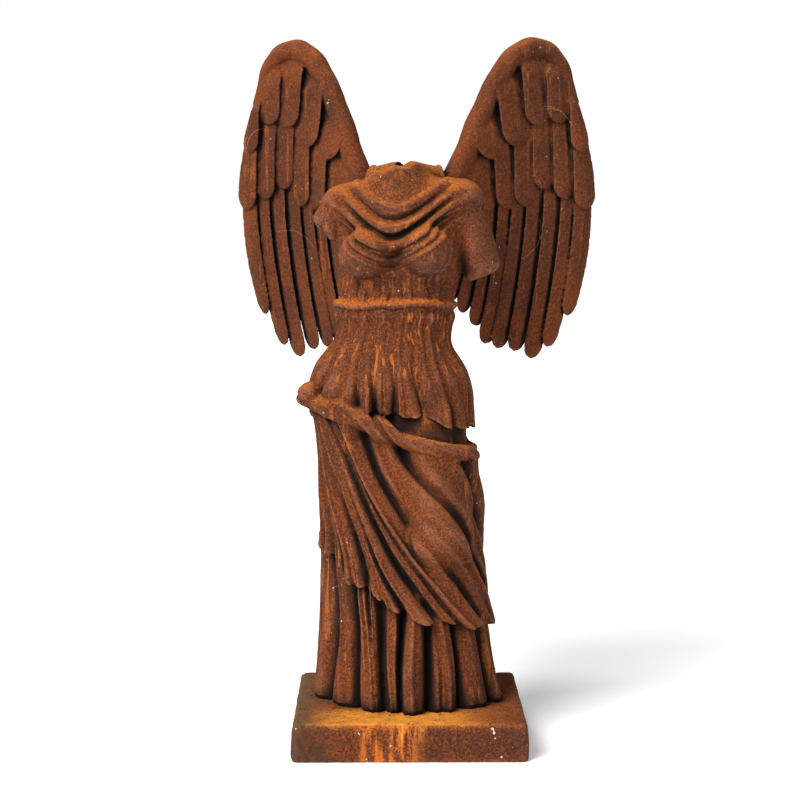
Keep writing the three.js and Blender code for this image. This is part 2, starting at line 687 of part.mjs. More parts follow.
const makeBoss = ( side ) => {

	const stub = new ParametricGeometry( ( u, v, target ) => {

		const a = ( u >= 1 ? 0 : u ) * TAU;
		const row = Math.round( v * 5 );
		const out = [ - 48, - 48, - 20, WING_SEAM, BOSS.reach, BOSS.reach ][ row ];
		const size = [ 0, 1.15, 1.12, 1, 1, 0 ][ row ];
		const up = BOSS.up + Math.sin( a ) * BOSS.half[ 1 ] * size;
		onWing( side, out, up, Math.cos( a ) * BOSS.half[ 0 ] * size, target );

	}, 10, 5 );
	return solidOf( stub ).intersect( wingBlock( side, - 400, WING_SEAM - WING_GAP ) );

};

// Turns a finished solid into a mesh, keeping its one outer skin

const outerSkin = ( solid ) => {

	const { numProp, vertProperties, triVerts } = solid.getMesh();
	const owner = Array.from( { length: vertProperties.length / numProp }, ( _, i ) => i );
	const find = ( i ) => {

		while ( owner[ i ] !== i ) i = owner[ i ] = owner[ owner[ i ] ];
		return i;

	};

	for ( let i = 0; i < triVerts.length; i += 3 ) {

		owner[ find( triVerts[ i ] ) ] = find( triVerts[ i + 1 ] );
		owner[ find( triVerts[ i + 1 ] ) ] = find( triVerts[ i + 2 ] );

	}

	const size = new Map();
	for ( const v of triVerts ) size.set( find( v ), ( size.get( find( v ) ) ?? 0 ) + 1 );
	const largest = [ ...size.entries() ].sort( ( a, b ) => b[ 1 ] - a[ 1 ] )[ 0 ][ 0 ];
	const geometry = new THREE.BufferGeometry();
	geometry.setAttribute( 'position', new THREE.BufferAttribute( vertProperties, numProp ) );
	geometry.setIndex( Array.from( triVerts ).filter( ( v ) => find( v ) === largest ) );
	return geometry;

};

const castIron = ( name, color ) =>
	new THREE.MeshStandardMaterial( { name, color, roughness: 0.85, metalness: 0.35 } );

const statue = new THREE.Group();
const turned = new THREE.Group();
turned.rotation.z = TURN;
statue.add( turned );

const figure = joined( [
	makeSkirt(),
	makeTorso(),
	layer( { folds: OVERFOLD_FOLDS, rows: 5, place: overfoldPlace, core: [ 600, 740 ] } ),
	layer( { folds: MANTLE_FOLDS, rows: 6, place: mantlePlace, core: [ MANTLE_HEM, MANTLE_TOP ] } ),
	makeRoll(),
	makeKnot(),
	...armStubs.map( makeStub ),
	makeBoss( 1 ),
	makeBoss( - 1 ),
] );

const figureMesh = new THREE.Mesh( outerSkin( figure ), castIron( 'rust on the figure', 0x6e3a22 ) );
figureMesh.name = 'figure';
turned.add( figureMesh );

for ( const side of [ - 1, 1 ] ) {

	const rust = castIron( 'rust on a wing', side < 0 ? 0x8c5a40 : 0x61392a );
	const wing = new THREE.Mesh( outerSkin( makeWing( side ) ), rust );
	wing.name = side < 0 ? 'wing_left' : 'wing_right';
	turned.add( wing );

}

// The plinth: a square slab with rounded corners and edges, a little narrower at the top

const makePlinth = () => {

	const half = PLINTH_SIDE / 2 - PLINTH_EDGE;
	const outline = new THREE.Shape();
	outline.moveTo( - half + PLINTH_CORNER, - half );
	for ( const [ x, y, start ] of [ [ 1, - 1, - 0.5 ], [ 1, 1, 0 ], [ - 1, 1, 0.5 ], [ - 1, - 1, 1 ] ] ) {

		const inner = half - PLINTH_CORNER;
		outline.absarc( x * inner, y * inner, PLINTH_CORNER, start * Math.PI, ( start + 0.5 ) * Math.PI );

	}

	const slab = new THREE.ExtrudeGeometry( outline, {
		depth: PLINTH_HEIGHT - 2 * PLINTH_EDGE,
		bevelThickness: PLINTH_EDGE,
		bevelSize: PLINTH_EDGE,
		bevelSegments: 2,
		curveSegments: 2,
	} );
	slab.translate( 0, 0, PLINTH_EDGE );
	const points = slab.attributes.position;
	for ( let i = 0; i < points.count; i ++ ) {

		const narrow = 1 - PLINTH_TAPER * points.getZ( i ) / PLINTH_HEIGHT;
		points.setXY( i, points.getX( i ) * narrow, points.getY( i ) * narrow );

	}

	return solidOf( slab );

};

const plinth = new THREE.Mesh( outerSkin( makePlinth() ), castIron( 'rust on the plinth', 0x7a4420 ) );
plinth.name = 'plinth';
statue.add( plinth );

export default statue;
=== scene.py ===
# Cast iron garden statue: a draped winged figure without head or arms, on a square plinth.
# Shapes are worked out in millimetres and become metres when a mesh is made.

import math
from functools import partial

import bmesh
import bpy
import numpy as np
from mathutils import Matrix, Vector, noise
from mathutils.bvhtree import BVHTree


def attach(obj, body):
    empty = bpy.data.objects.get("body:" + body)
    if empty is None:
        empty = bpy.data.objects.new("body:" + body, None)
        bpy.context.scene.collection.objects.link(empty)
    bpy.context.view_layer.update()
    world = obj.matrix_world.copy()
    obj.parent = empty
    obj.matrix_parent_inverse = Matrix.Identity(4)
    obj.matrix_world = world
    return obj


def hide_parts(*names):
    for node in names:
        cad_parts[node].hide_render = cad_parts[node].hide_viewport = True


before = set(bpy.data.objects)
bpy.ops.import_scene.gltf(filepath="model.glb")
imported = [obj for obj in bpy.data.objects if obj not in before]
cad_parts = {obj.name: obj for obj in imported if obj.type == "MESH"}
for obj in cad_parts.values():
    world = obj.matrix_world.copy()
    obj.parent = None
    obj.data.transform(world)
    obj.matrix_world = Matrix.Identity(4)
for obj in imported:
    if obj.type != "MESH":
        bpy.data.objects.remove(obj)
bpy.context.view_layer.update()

tau = 2 * math.pi


# Small helpers for blending, steps and folds

def smoothStep(low, high, x):
    t = np.clip((x - low) / (high - low), 0, 1)
    return t * t * (3 - 2 * t)


def bump(x, centre, width):
    return np.exp(-(((x - centre) / width) ** 2))


def smoothMin(a, b, k):
    h = np.clip(0.5 + 0.5 * (b - a) / k, 0, 1)
    return b + (a - b) * h - k * h * (1 - h)


def smoothMax(a, b, k):
    return -smoothMin(-a, -b, k)


def unit(vectors):  # the same directions, each one long
    return vectors / np.maximum(np.linalg.norm(vectors, axis=-1, keepdims=True), 1e-9)


def roundEnd(x, start):  # 1 up to start, then down to 0 at 1, like the end of a worn rod
    return np.sqrt(np.clip(1 - ((x - start) / (1 - start)).clip(0, 1) ** 2, 0, 1))


def pleat(u, power=0.75):  # 1 on a fold's crest, 0 in the crease beside it
    return np.abs(np.sin(math.pi * u)) ** power


def lean(u, amount):
    return u + amount * np.sin(tau * u)


def curve(*keys):  # a smooth curve through a few keys
    at, value = np.array(keys, float).T
    last = len(at) - 1
    after = np.minimum(np.arange(len(at)) + 1, last)
    before = np.maximum(np.arange(len(at)) - 1, 0)
    slope = (value[after] - value[before]) / (at[after] - at[before])

    def read(x):
        x = np.clip(x, at[0], at[-1])
        i = np.clip(np.searchsorted(at, x, side="left") - 1, 0, last - 1)
        h = at[i + 1] - at[i]
        t = (x - at[i]) / h
        return ((1 + 2 * t) * (1 - t) ** 2 * value[i] + t * (1 - t) ** 2 * h * slope[i]
                + t * t * (3 - 2 * t) * value[i + 1] + t * t * (t - 1) * h * slope[i + 1])

    return read


def wander(points, size, seed=0):  # smooth random values, -1 to 1, in blobs of this size
    shift = Vector((seed * 7.31, seed * 3.17, seed * 5.73))
    return np.array([noise.noise(Vector(p) / size + shift) for p in points])


def perFold(number, seed):  # one steady value, 0 to 1, for each fold
    return np.mod(np.sin(number * 12.9898 + seed * 4.1414) * 43758.5453, 1)


folding = {"offCentre": 0.15, "height": 0.76, "uneven": 0.28, "round": 0.8, "crease": 0.10}


def whichFold(x, count):  # the number of a fold, and how far across it this is
    return np.mod(np.floor(x), count), np.mod(x, 1)


def fold(x, seed, count=1000):  # no two folds in a row are alike in height or in the place of the crest
    number, along = whichFold(x, count)
    crest = 0.5 + folding["offCentre"] * np.sin(3.7 * number + 1.3 * seed)
    height = folding["height"] + folding["uneven"] * np.sin(2.4 * number + seed)
    return height * pleat(along ** (math.log(0.5) / np.log(crest)), folding["round"])


def crease(along):  # 1 in the sharp trough between two folds
    return bump(along, 0, folding["crease"]) + bump(along, 1, folding["crease"])


def notch(along, middle, width):  # 1 in a groove that splits a fold in two
    return np.clip(1 - np.abs(along - middle) / width, 0, 1) ** 1.4


def swayRound(u, z, size, seed):  # slow wandering round the figure, closed where u goes from 1 to 0
    w, ring = tau * u, 130
    return wander(np.stack([ring * np.cos(w), ring * np.sin(w), z + 0 * w], -1), size, seed)


# The body under the dress: round forms and limbs blended into each other

body = {
    "round": [  # centre, radii, blend
        ((-14, 8, 862), (108, 78, 118), 0),  # ribs
        ((-25, 5, 735), (93, 69, 100), 30),  # waist
        ((-30, -28, 655), (76, 49, 64), 26),  # belly
        ((-34, 6, 625), (124, 84, 86), 34),  # pelvis
        ((-84, 52, 606), (58, 46, 60), 22),
        ((20, 50, 594), (58, 46, 60), 22),
        ((-65, -58, 841), (42, 38, 41), 12),
        ((35, -58, 846), (42, 38, 41), 12),
    ],
    "limbs": [  # from, to, radii, blend
        ((-112, 10, 917), (86, 10, 927), (40, 40), 36),  # shoulders
        ((-14, 12, 930), (-17, 2, 1012), (50, 37), 26),  # neck
        ((-88, 2, 600), (-68, -6, 355), (74, 48), 24),  # left leg
        ((-68, -6, 355), (-54, 14, 110), (46, 30), 18),
        ((24, -4, 598), (58, -78, 362), (72, 47), 24),  # right leg, its knee forward
        ((58, -74, 362), (88, 8, 110), (44, 28), 18),
    ],
    "neckBreak": 990,
    "cloth": 4,
    "turn": math.radians(-7),
}


def neckBreak(x, y):
    return (body["neckBreak"] + 0.16 * (x + 14) + 0.10 * y
            + 2.4 * np.sin(x * 0.17 + y * 0.05) + 1.8 * np.sin(y * 0.21 - x * 0.08 + 1))


def bodyDistance(p):
    d = None
    for centre, radii, blend in body["round"]:
        q = (p - np.array(centre)) / np.array(radii)
        scaled = np.linalg.norm(q, axis=-1)
        steep = np.linalg.norm(q / np.array(radii), axis=-1)
        form = scaled * (scaled - 1) / np.maximum(steep, 1e-9)
        d = form if d is None else smoothMin(d, form, blend)
    for start, end, radii, blend in body["limbs"]:
        axis = np.array(end, float) - np.array(start, float)
        reach = p - np.array(start)
        t = np.clip(reach @ axis / (axis @ axis), 0, 1)
        thick = radii[0] + (radii[1] - radii[0]) * t
        d = smoothMin(d, np.linalg.norm(reach - t[..., None] * axis, axis=-1) - thick, blend)
    return smoothMax(d, p[..., 2] - neckBreak(p[..., 0], p[..., 1]), 4)


# The figure is measured outwards from a line up its middle. Heights up to the chest are level
# rounds; above it they tilt up to the neck like a fan.

middleX = curve((65, 0), (350, -14), (600, -34), (735, -25), (862, -14), (1000, -14))
middleY = curve((65, 4), (350, 0), (600, 4), (735, 5), (862, 6), (1000, 8))
footHeight, chestHeight, fanRadius = 65, 885, 90
fanTop = chestHeight + fanRadius * math.pi / 2
front = 1.5 * math.pi


def outFrom(turn, height):
    level = np.minimum(height, chestHeight)
    tilt = np.maximum(height - chestHeight, 0) / fanRadius
    start = np.stack([middleX(level), middleY(level), level], -1)
    ray = np.stack([np.cos(turn) * np.cos(tilt), np.sin(turn) * np.cos(tilt), np.sin(tilt)], -1)
    return start, ray


def onFigure(turn, height, radius):
    start, ray = outFrom(turn, height)
    return start + ray * radius[..., None]


castMap = {"columns": 240, "rows": 193}
castHeights = np.linspace(footHeight, fanTop, castMap["rows"])


def castBody():
    turns = np.arange(castMap["columns"]) / castMap["columns"] * tau
    height, turn = np.meshgrid(castHeights, turns, indexing="ij")
    start, ray = outFrom(turn, height)
    r = np.full(height.shape, 240.0)
    for step in range(26):  # every ray walks in until it meets the body
        s = bodyDistance(start + ray * r[..., None])
        r = np.maximum(r - s * np.where(s > 0, 0.92, 0.6), 1)
    return r


cast = castBody()
print("body cast")


def castRadius(turn, height):  # the body's radius, read smoothly between the cast's rays
    row = (height - footHeight) / (fanTop - footHeight) * (castMap["rows"] - 1)
    column = np.mod(turn / tau, 1) * castMap["columns"]
    i, j = np.floor(row).astype(int), np.floor(column).astype(int)

    def weights(t):
        return (((-t + 2) * t - 1) * t / 2, ((3 * t - 5) * t * t + 2) / 2,
                ((-3 * t + 4) * t + 1) * t / 2, (t - 1) * t * t / 2)

    down, across = weights(row - i), weights(column - j)
    total = 0
    for a in range(4):
        for b in range(4):
            rows = np.clip(i + a - 1, 0, castMap["rows"] - 1)
            total = total + down[a] * across[b] * cast[rows, (j + b - 1) % castMap["columns"]]
    return total


def bodyRadius(turn, height):
    return castRadius(turn, height) + body["cloth"]


skirtSide = curve((65, 158), (130, 147), (220, 139), (350, 132), (480, 124), (600, 104), (660, 76))
skirtFront = curve((65, 136), (130, 124), (220, 112), (350, 100), (480, 90), (600, 70), (660, 44))
skirtBack = curve((65, 142), (130, 130), (220, 118), (350, 106), (480, 98), (600, 80), (660, 54))
hipHeight = 660


def skirtRadius(turn, height):
    depth = np.where(np.sin(turn) < 0, skirtFront(height), skirtBack(height))
    return 1 / np.hypot(np.cos(turn) / skirtSide(height), np.sin(turn) / depth)


def baseRadius(turn, height):
    under = bodyRadius(turn, height)
    return np.where(height < hipHeight, smoothMax(under, skirtRadius(turn, height), 18), under)


def fromFront(turn):
    return np.mod(turn - front + math.pi, tau) - math.pi


def roundTo(u):  # once round the figure, closer together on the front
    w = tau * np.mod(u, 1)
    return front + math.pi + w + 0.28 * np.sin(w)


# Meshes: every form starts as a flat grid whose points are moved to their places

def asMesh(bm, name):
    mesh = bpy.data.meshes.new(name)
    bm.to_mesh(mesh)
    bm.free()
    return mesh


def outward(bm, mesh):  # with its faces turned outwards
    bmesh.ops.recalc_face_normals(bm, faces=bm.faces)
    bm.to_mesh(mesh)
    bm.free()
    return mesh


def added(data, name, at=(0, 0, 0)):
    piece = bpy.data.objects.new(name, data)
    bpy.context.scene.collection.objects.link(piece)
    piece.location = at
    return piece


def gridPiece(name, place, form):
    columns, rows = form["columns"], form["rows"]
    bm = bmesh.new()
    bmesh.ops.create_grid(bm, x_segments=columns, y_segments=rows, size=1)
    flat = np.array([v.co[:2] for v in bm.verts])
    u = np.round((flat[:, 0] + 1) / 2 * columns).astype(int)
    v = np.round((flat[:, 1] + 1) / 2 * rows).astype(int)
    points = place(np.mod(u, columns) / columns, v)
    mesh = asMesh(bm, name)
    mesh.vertices.foreach_set("co", (points / 1000).astype(np.float32).ravel())
    bm = bmesh.new()
    bm.from_mesh(mesh)
    bmesh.ops.remove_doubles(bm, verts=bm.verts, dist=2e-6)
    return outward(bm, mesh)


def applied(piece):  # the piece with its modifiers made part of its mesh
    graph = bpy.context.evaluated_depsgraph_get()
    mesh = bpy.data.meshes.new_from_object(piece.evaluated_get(graph))
    piece.modifiers.clear()
    piece.data = mesh
    return piece


def castAsOne(name, meshes, grain, faces):  # the shells as one skin, as they were poured
    bm = bmesh.new()
    for mesh in meshes:
        bm.from_mesh(mesh)
        bpy.data.meshes.remove(mesh)
    piece = added(asMesh(bm, name), name)
    remesh = piece.modifiers.new("skin", "REMESH")
    remesh.mode = "VOXEL"
    remesh.voxel_size = grain / 1000
    applied(piece)
    count = 2 * len(piece.data.polygons)
    if count > faces:
        thin = piece.modifiers.new("thin", "DECIMATE")
        thin.ratio = faces / count
        applied(piece)
    print(name, "skin:", count, "faces, kept", len(piece.data.polygons))
    return piece


# The skirt: flutes that hang to the plinth, some of them split in two further down

skirt = {"flutes": 15, "depth": 11, "flare": 21, "split": 7.5, "ripple": 2.0, "sway": 3.0, "top": 606,
         "under": 10, "columns": 640, "rows": 230}


def fluteTurn(u, z):
    w = tau * u
    return (0.07 * np.sin(3 * w + 1.1) + 0.03 * np.sin(5 * w + 2.7) + 0.022 * np.sin(8 * w + 1)
            + 0.00026 * (z - 300) * np.sin(2 * w + 0.5) + 0.05 * np.sin(0.012 * z + 3 * w))


def mantleTop(f):
    return 545 - 50 * np.sin(f + 0.15) + 12 * (1 - np.cos(f)) + 5 * np.sin(2 * f + 1)


def mantleHem(f):
    return 258 - 74 * np.sin(f - 0.15) - 22 * np.cos(2 * f + 0.3)


def covered(f, z):
    return np.minimum(smoothStep(15, 50, z - mantleHem(f)) * smoothStep(0, -25, z - mantleTop(f))
                      + smoothStep(576, 601, z), 1)


def skirtPlace(u, v):
    rows = skirt["rows"]
    z = footHeight + (skirt["top"] - footHeight) * np.clip((v - 1) / (rows - 2), 0, 1)
    w = tau * u
    t = roundTo(u) + fluteTurn(u, z)
    f = fromFront(t)
    sway = swayRound(u, z, 120, 11)
    x = skirt["flutes"] * u + 0.16 * sway
    number, along = whichFold(x, skirt["flutes"])
    strength = 0.9 + 0.15 * np.sin(3 * w + 0.007 * z + 2.2) + 0.12 * np.sin(5 * w - 0.012 * z + 0.3)
    depth = (skirt["depth"] + skirt["flare"] * smoothStep(480, 150, z)) * strength
    flutes = (fold(x, 1, skirt["flutes"]) - 0.6) * depth
    opens = 120 + 260 * perFold(number, 1)  # where each flute splits
    split = smoothStep(opens, opens - 120, z) * (perFold(number, 2) > 0.3)
    beside = 0.36 + 0.28 * perFold(number, 3)
    flutes = flutes - skirt["split"] * split * notch(along, beside, 0.18)
    ripple = np.sin(3 * tau * along + 4 * perFold(number, 4) + 0.02 * z) * pleat(along)
    flutes = flutes + skirt["ripple"] * ripple * smoothStep(430, 200, z)
    flutes = flutes + skirt["sway"] * sway * smoothStep(450, 200, z) - 0.28 * depth * crease(along)
    under = covered(f, z)
    hung = skirtRadius(t, z) + flutes * (1 - under) * smoothStep(650, 560, z)
    r = smoothMax(bodyRadius(t, z), hung, 10) - skirt["under"] * under
    r = r - 4 * smoothStep(72, 65, z)
    r = np.where((v == 0) | (v == rows), 0, r)
    return onFigure(t, z, r)


# The bodice: a cowl of curved folds, a cord tied under it, and gathers above and below the cord

bodice = {
    "neckline": 962, "cowlLow": 905, "cowlFolds": 4, "cowlWidth": 0.86, "cowlMiddle": -0.1, "cowlDepth": 19,
    "fineDepth": 2.4, "gathers": 18, "gatherDepth": 5, "backDepth": 7, "sideFolds": 30, "sideDepth": 6,
    "tuck": 10, "hem": 4, "girdle": 754, "low": 596, "columns": 760, "rows": 236,
}
cowlDip = curve((740, 0), (790, 16), (905, 84), (962, 30), (984, 0), (1030, 0))


def chestLift(u, f, height):
    w = tau * u
    aside = np.abs(f)
    gathers, neckline = bodice["gathers"], bodice["neckline"]
    sway = swayRound(u, height, 60, 12)
    down = (neckline - height) / (neckline - bodice["cowlLow"]) * bodice["cowlFolds"]
    cowl = smoothStep(-0.1, 0.3, down) * smoothStep(5, 3.5, down) * smoothStep(1.5, 0.95, aside)
    hanging = (fold(down, 4) - 0.5) * (bodice["cowlDepth"] + 3 * np.sin(2 * w + down)) * cowl
    fine = (fold(2.5 * down + 0.5 * sway, 7) - 0.5) * bodice["fineDepth"] * cowl
    # the cord draws the cloth in
    number = np.floor(gathers * u)
    reach = 24 + 26 * perFold(number, 13)
    drawn = bump(height, 778, reach) * (0.6 + 0.6 * perFold(number, 14))
    drawn = (pleat(gathers * u + 0.25 * sway, 0.9) - 0.6) * bodice["gatherDepth"] * drawn
    threads = 3.2 * bump(height, 772, 26) + 2 * bump(height, 812, 42)
    threads = (fold(2.5 * gathers * u + 0.5 * sway, 8) - 0.5) * threads
    # plain folds down the back, and folds at the sides that run up to the shoulders
    behind = smoothStep(1.3, 2.0, aside) * smoothStep(750, 800, height) * smoothStep(955, 920, height)
    straight = (pleat(lean(gathers * u / 2 + 0.25, 0.1), 0.8) - 0.7) * bodice["backDepth"] * behind
    beside = smoothStep(0.45, 0.95, aside) * smoothStep(2.0, 1.5, aside)
    beside = beside * smoothStep(765, 800, height) * smoothStep(905, 860, height)
    upright = fold(bodice["sideFolds"] * u + 0.55 * sway, 9, bodice["sideFolds"]) - 0.5
    upright = upright * bodice["sideDepth"] * beside
    tuck = bodice["tuck"] * smoothStep(744, 724, height)
    hem = bodice["hem"] * smoothStep(965, 961, height) + 1.6 * bump(height, 959.5, 2.6)
    return hanging + fine + drawn + threads + 5 * bump(height, 773, 15) + straight + upright - tuck + hem


def bodicePlace(u, v):
    rows = bodice["rows"]
    height = bodice["low"] + (fanTop - bodice["low"]) * np.clip((v - 1) / (rows - 1), 0, 1)
    t = roundTo(u)
    f = fromFront(t)
    dip = cowlDip(height) * bump(f, bodice["cowlMiddle"], bodice["cowlWidth"])
    drop = np.minimum(height - dip, fanTop)
    r = castRadius(t, drop) + chestLift(u, f, height) * smoothStep(984, 970, height)
    r = np.where(v == 0, 0, r)
    r = np.where(v == rows, castRadius(0 * t, fanTop + 0 * t), r)
    return onFigure(t, drop, r)


girdle = {"radius": 7, "out": 9, "strands": 2, "twists": 44, "columns": 560, "rows": 20}


def girdlePlace(u, v):
    a = tau * v / girdle["rows"]
    t = roundTo(u)
    w = tau * u
    middle = bodice["girdle"] + 2.0 * np.sin(2 * w + 0.4) + 1.0 * np.sin(5 * w)
    strand = pleat(girdle["strands"] * a / tau + girdle["twists"] * u, 0.8)
    size = girdle["radius"] * (0.84 + 0.22 * strand)
    out = castRadius(t, middle) + girdle["out"]
    return onFigure(t, middle + np.sin(a) * size, out + np.cos(a) * size)


# A layer of cloth over the dress: folds run from its top edge to its hem, and it is closed inside

def layerPlace(place, form, u, v):
    rows, core = form["rows"], form["core"]
    s = np.clip(1 - (v - 4) / (rows - 7), 0, 1)
    t, z, r = place(u, s)
    z = z + np.select([v == 1, v == 2, v == 3], [10, 3.2, 0.6], 0)  # the lowest rows turn the hem under
    r = r * np.select([v == 1, v == 2], [0.6, 0.965], 1.0) - 1.4 * (v == 3)
    r = np.where(v == rows - 1, r * 0.55, r)
    r = np.where((v == 0) | (v == rows), 0, r)
    z = np.where(v == 0, core[0], np.where(v == rows, core[1], z))
    return onFigure(t, z, r)


overfold = {"folds": 13, "depth": 20, "gathers": 7.5, "threads": 2.8, "split": 4.6, "flare": 9, "edge": 1.2,
            "out": 2.5, "top": 752, "hem": 566, "core": (600, 740), "columns": 780, "rows": 126}


def overfoldPlace(u, s):
    w = tau * u
    t = (roundTo(u) + 0.06 * np.sin(3 * w + 0.8) + 0.035 * np.sin(5 * w + 2.1)
         + 0.02 * np.sin(8 * w + 0.5) + 0.07 * s * np.sin(2 * w + 1))
    f = fromFront(t)
    folds = overfold["folds"]
    sway = swayRound(u, 752 - 186 * s, 70, 15)
    x = folds * u + 0.22 * sway * smoothStep(0, 0.3, s)
    number, along = whichFold(x, folds)
    narrow = fold(2 * folds * u + 0.35 * sway, 5, 2 * folds)
    thread = fold(5 * folds * u + 0.9 * sway, 6, 5 * folds)
    wide = fold(x, 2, folds)
    hem = overfold["hem"] - 12 * np.sin(f - 0.4) + 8 * np.cos(2 * f) + 4 * np.sin(5 * w + 1) - 12 * wide
    z = overfold["top"] + (hem - overfold["top"]) * s
    calm = 1 - 0.75 * bump(f, -0.1, 0.55) * bump(z, 664, 50)
    low = smoothStep(0.3, 1, s)
    split = smoothStep(0.45, 1, s) * (perFold(number, 5) > 0.3)
    lift = overfold["out"] + 3.5 * bump(s, 0.09, 0.05) + overfold["edge"] * bump(s, 0.975, 0.02)
    lift = lift + (narrow - 0.5) * (overfold["gathers"] - 5 * low) * calm * smoothStep(-0.06, 0.14, s)
    lift = lift + ((wide - 0.5) * overfold["depth"] - 4.5 * crease(along)) * low ** 1.3 * calm
    lift = lift + (thread - 0.5) * overfold["threads"] * smoothStep(0.6, 0.03, s)
    lift = lift - overfold["split"] * split * notch(along, 0.42 + 0.2 * perFold(number, 6), 0.15)
    return t, z, baseRadius(t, z) + lift + overfold["flare"] * low ** 1.6


# The mantle: wrapped low round the hips, its folds fan out from the gathering on one hip

mantle = {"folds": 15, "gather": -1.3, "unrolled": 125, "depth": 26, "out": 11, "flare": 4, "edge": 1.2,
          "threads": 2.2, "split": 0.36, "core": (258, 545), "columns": 960, "rows": 196}
mantleStart = curve((-1.3, -1.3), (-0.2, -1.12), (1, -0.8), (2, 0.3), (3.14, 2.2), (tau - 1.3, tau - 1.3))


def mantleEnd(u):
    return (mantle["gather"] + tau * u - 0.35 * (np.sin(tau * u - 1.2) + math.sin(1.2))
            + 0.045 * (np.sin(5 * tau * u + 1) - math.sin(1)))


def mantlePlace(u, s):
    w = tau * u
    folds = mantle["folds"]

    def angle(at):
        return mantleStart(mantleEnd(at)) * (1 - s ** 1.25) + mantleEnd(at) * s ** 1.25

    start, end = mantleStart(mantleEnd(u)), mantleEnd(u)
    f = angle(u) + 0.035 * np.sin(5 * s + 3 * w) * np.sin(math.pi * s)
    width = (angle(u + 0.004) - angle(u - 0.004)) / 0.008 * mantle["unrolled"] / folds
    top, low = mantleTop(start), mantleHem(end)
    sway = swayRound(u, top + (low - top) * s, 90, 16) * smoothStep(0, 0.12, u) * smoothStep(1, 0.88, u)
    x = folds * u + 0.22 * sway * smoothStep(0, 0.3, s)
    number, along = whichFold(x, folds)
    wide = fold(x, 3, folds)
    narrow = pleat(2 * folds * u, 0.85)
    thread = fold(4 * folds * u + 0.9 * sway, 10, 4 * folds)
    hem = low - 15 * wide * smoothStep(0, 0.04, u) * smoothStep(1, 0.96, u)
    z = top + (hem - top) * s
    knee = bump(f, 0.42, 0.36) * bump(z, 385, 80)
    strength = 0.95 + 0.15 * np.sin(5 * w + 1) + 0.1 * np.sin(9 * w + 2 * s)
    depth = np.clip(0.62 * width, 5, mantle["depth"]) * strength * (1 - 0.65 * knee)
    opens = 0.25 + 0.5 * perFold(number, 7)
    split = smoothStep(opens, opens + 0.25, s) * (perFold(number, 8) > 0.25)
    lift = mantle["out"] + mantle["flare"] * smoothStep(0.85, 1, s) + mantle["edge"] * bump(s, 0.982, 0.014)
    lift = lift + (wide - 0.6 - 0.28 * crease(along)) * depth + (narrow - 0.6) * depth * 0.22
    lift = lift + (thread - 0.5) * np.minimum(depth * 0.16, mantle["threads"])
    lift = lift - mantle["split"] * depth * split * notch(along, 0.4 + 0.2 * perFold(number, 9), 0.17)
    t = f + front
    return t, z, baseRadius(t, z) + lift


roll = {"radius": 15, "out": 9, "twist": 0.5, "strands": 0.2, "columns": 520, "rows": 48}


def rollPlace(u, v):
    a = tau * v / roll["rows"]
    t = roundTo(u)
    f = fromFront(t)
    twist = pleat((2 * a + 9 * f) / tau + 0.15 * np.sin(4 * f), 0.8)
    fine = pleat((5 * a + 23 * f) / tau + 0.3 * np.sin(5 * f), 0.85)
    size = roll["radius"] + 3.5 * np.sin(2 * f + 2.2) + 2 * np.sin(5 * f + 2)
    size = size * (1 + roll["twist"] * (twist - 0.6) + roll["strands"] * (fine - 0.6))
    middle = mantleTop(f)
    out = baseRadius(t, middle) + roll["out"]
    return onFigure(t, middle + np.sin(a) * size, out + np.cos(a) * size)


knot = {"angle": -1.28, "rise": 4, "out": 6, "radii": (25, 30, 22), "folds": 0.26, "columns": 72, "rows": 48}


def knotPlace(u, v):
    a = tau * u
    b = math.pi * (v / knot["rows"] - 0.5)
    t = front + knot["angle"] + 0 * u
    z = mantleTop(knot["angle"]) + knot["rise"] + 0 * u
    swell = 1 + 0.10 * np.sin(3 * a + 4 * b) + knot["folds"] * (pleat((4 * a + 5 * b) / tau, 0.8) - 0.6)
    ring = np.cos(b) * swell
    middle = onFigure(t, z, baseRadius(t, z) + knot["out"])
    return middle + np.stack([knot["radii"][0] * np.cos(a) * ring, knot["radii"][1] * np.sin(a) * ring,
                              knot["radii"][2] * np.sin(b)], -1)


# The broken arms

stubs = {
    "right": {"from": (84, 10, 922), "to": (130, 16, 803), "radii": (41, 33), "seed": 1},
    "left": {"from": (-108, 10, 914), "to": (-146, 4, 874), "radii": (41, 37), "seed": 2.2},
    "ragged": 3, "cap": 13, "capFrom": 0.72, "columns": 120, "rows": 70,
}


def stubPlace(stub, u, v):
    start = np.array(stub["from"], float)
    whole = np.array(stub["to"], float) - start
    length = np.linalg.norm(whole)
    axis = unit(whole)
    side = unit(np.cross((0, 1, 0), axis))
    other = np.cross(axis, side)
    a, seed = tau * u, stub["seed"]
    done, capFrom = v / stubs["rows"], stubs["capFrom"]
    s = np.clip(done / capFrom, 0, 1)
    cap = 0.5 * math.pi * ((done - capFrom) / (1 - capFrom)).clip(0, 1)
    inset = np.cos(cap).clip(0, 1) ** 0.7
    swell = 1 + 0.06 * np.sin(math.pi * s)
    r = (stub["radii"][0] + (stub["radii"][1] - stub["radii"][0]) * s) * swell * inset * (v > 0)
    torn = 0.6 * np.sin(3 * a + seed) + 0.4 * np.sin(5 * a + 2 * seed) + 0.35 * np.sin(9 * a + seed)
    along = (length - stubs["cap"]) * s + stubs["cap"] * np.sin(cap)
    along = along + stubs["ragged"] * torn * smoothStep(0.8, 1, s) * inset
    across = side * (np.cos(a) * r)[:, None] + other * (np.sin(a) * r)[:, None]
    return start + axis * along[:, None] + across


# The wings: an arched arm along the top, and rows of feathers that hang from it

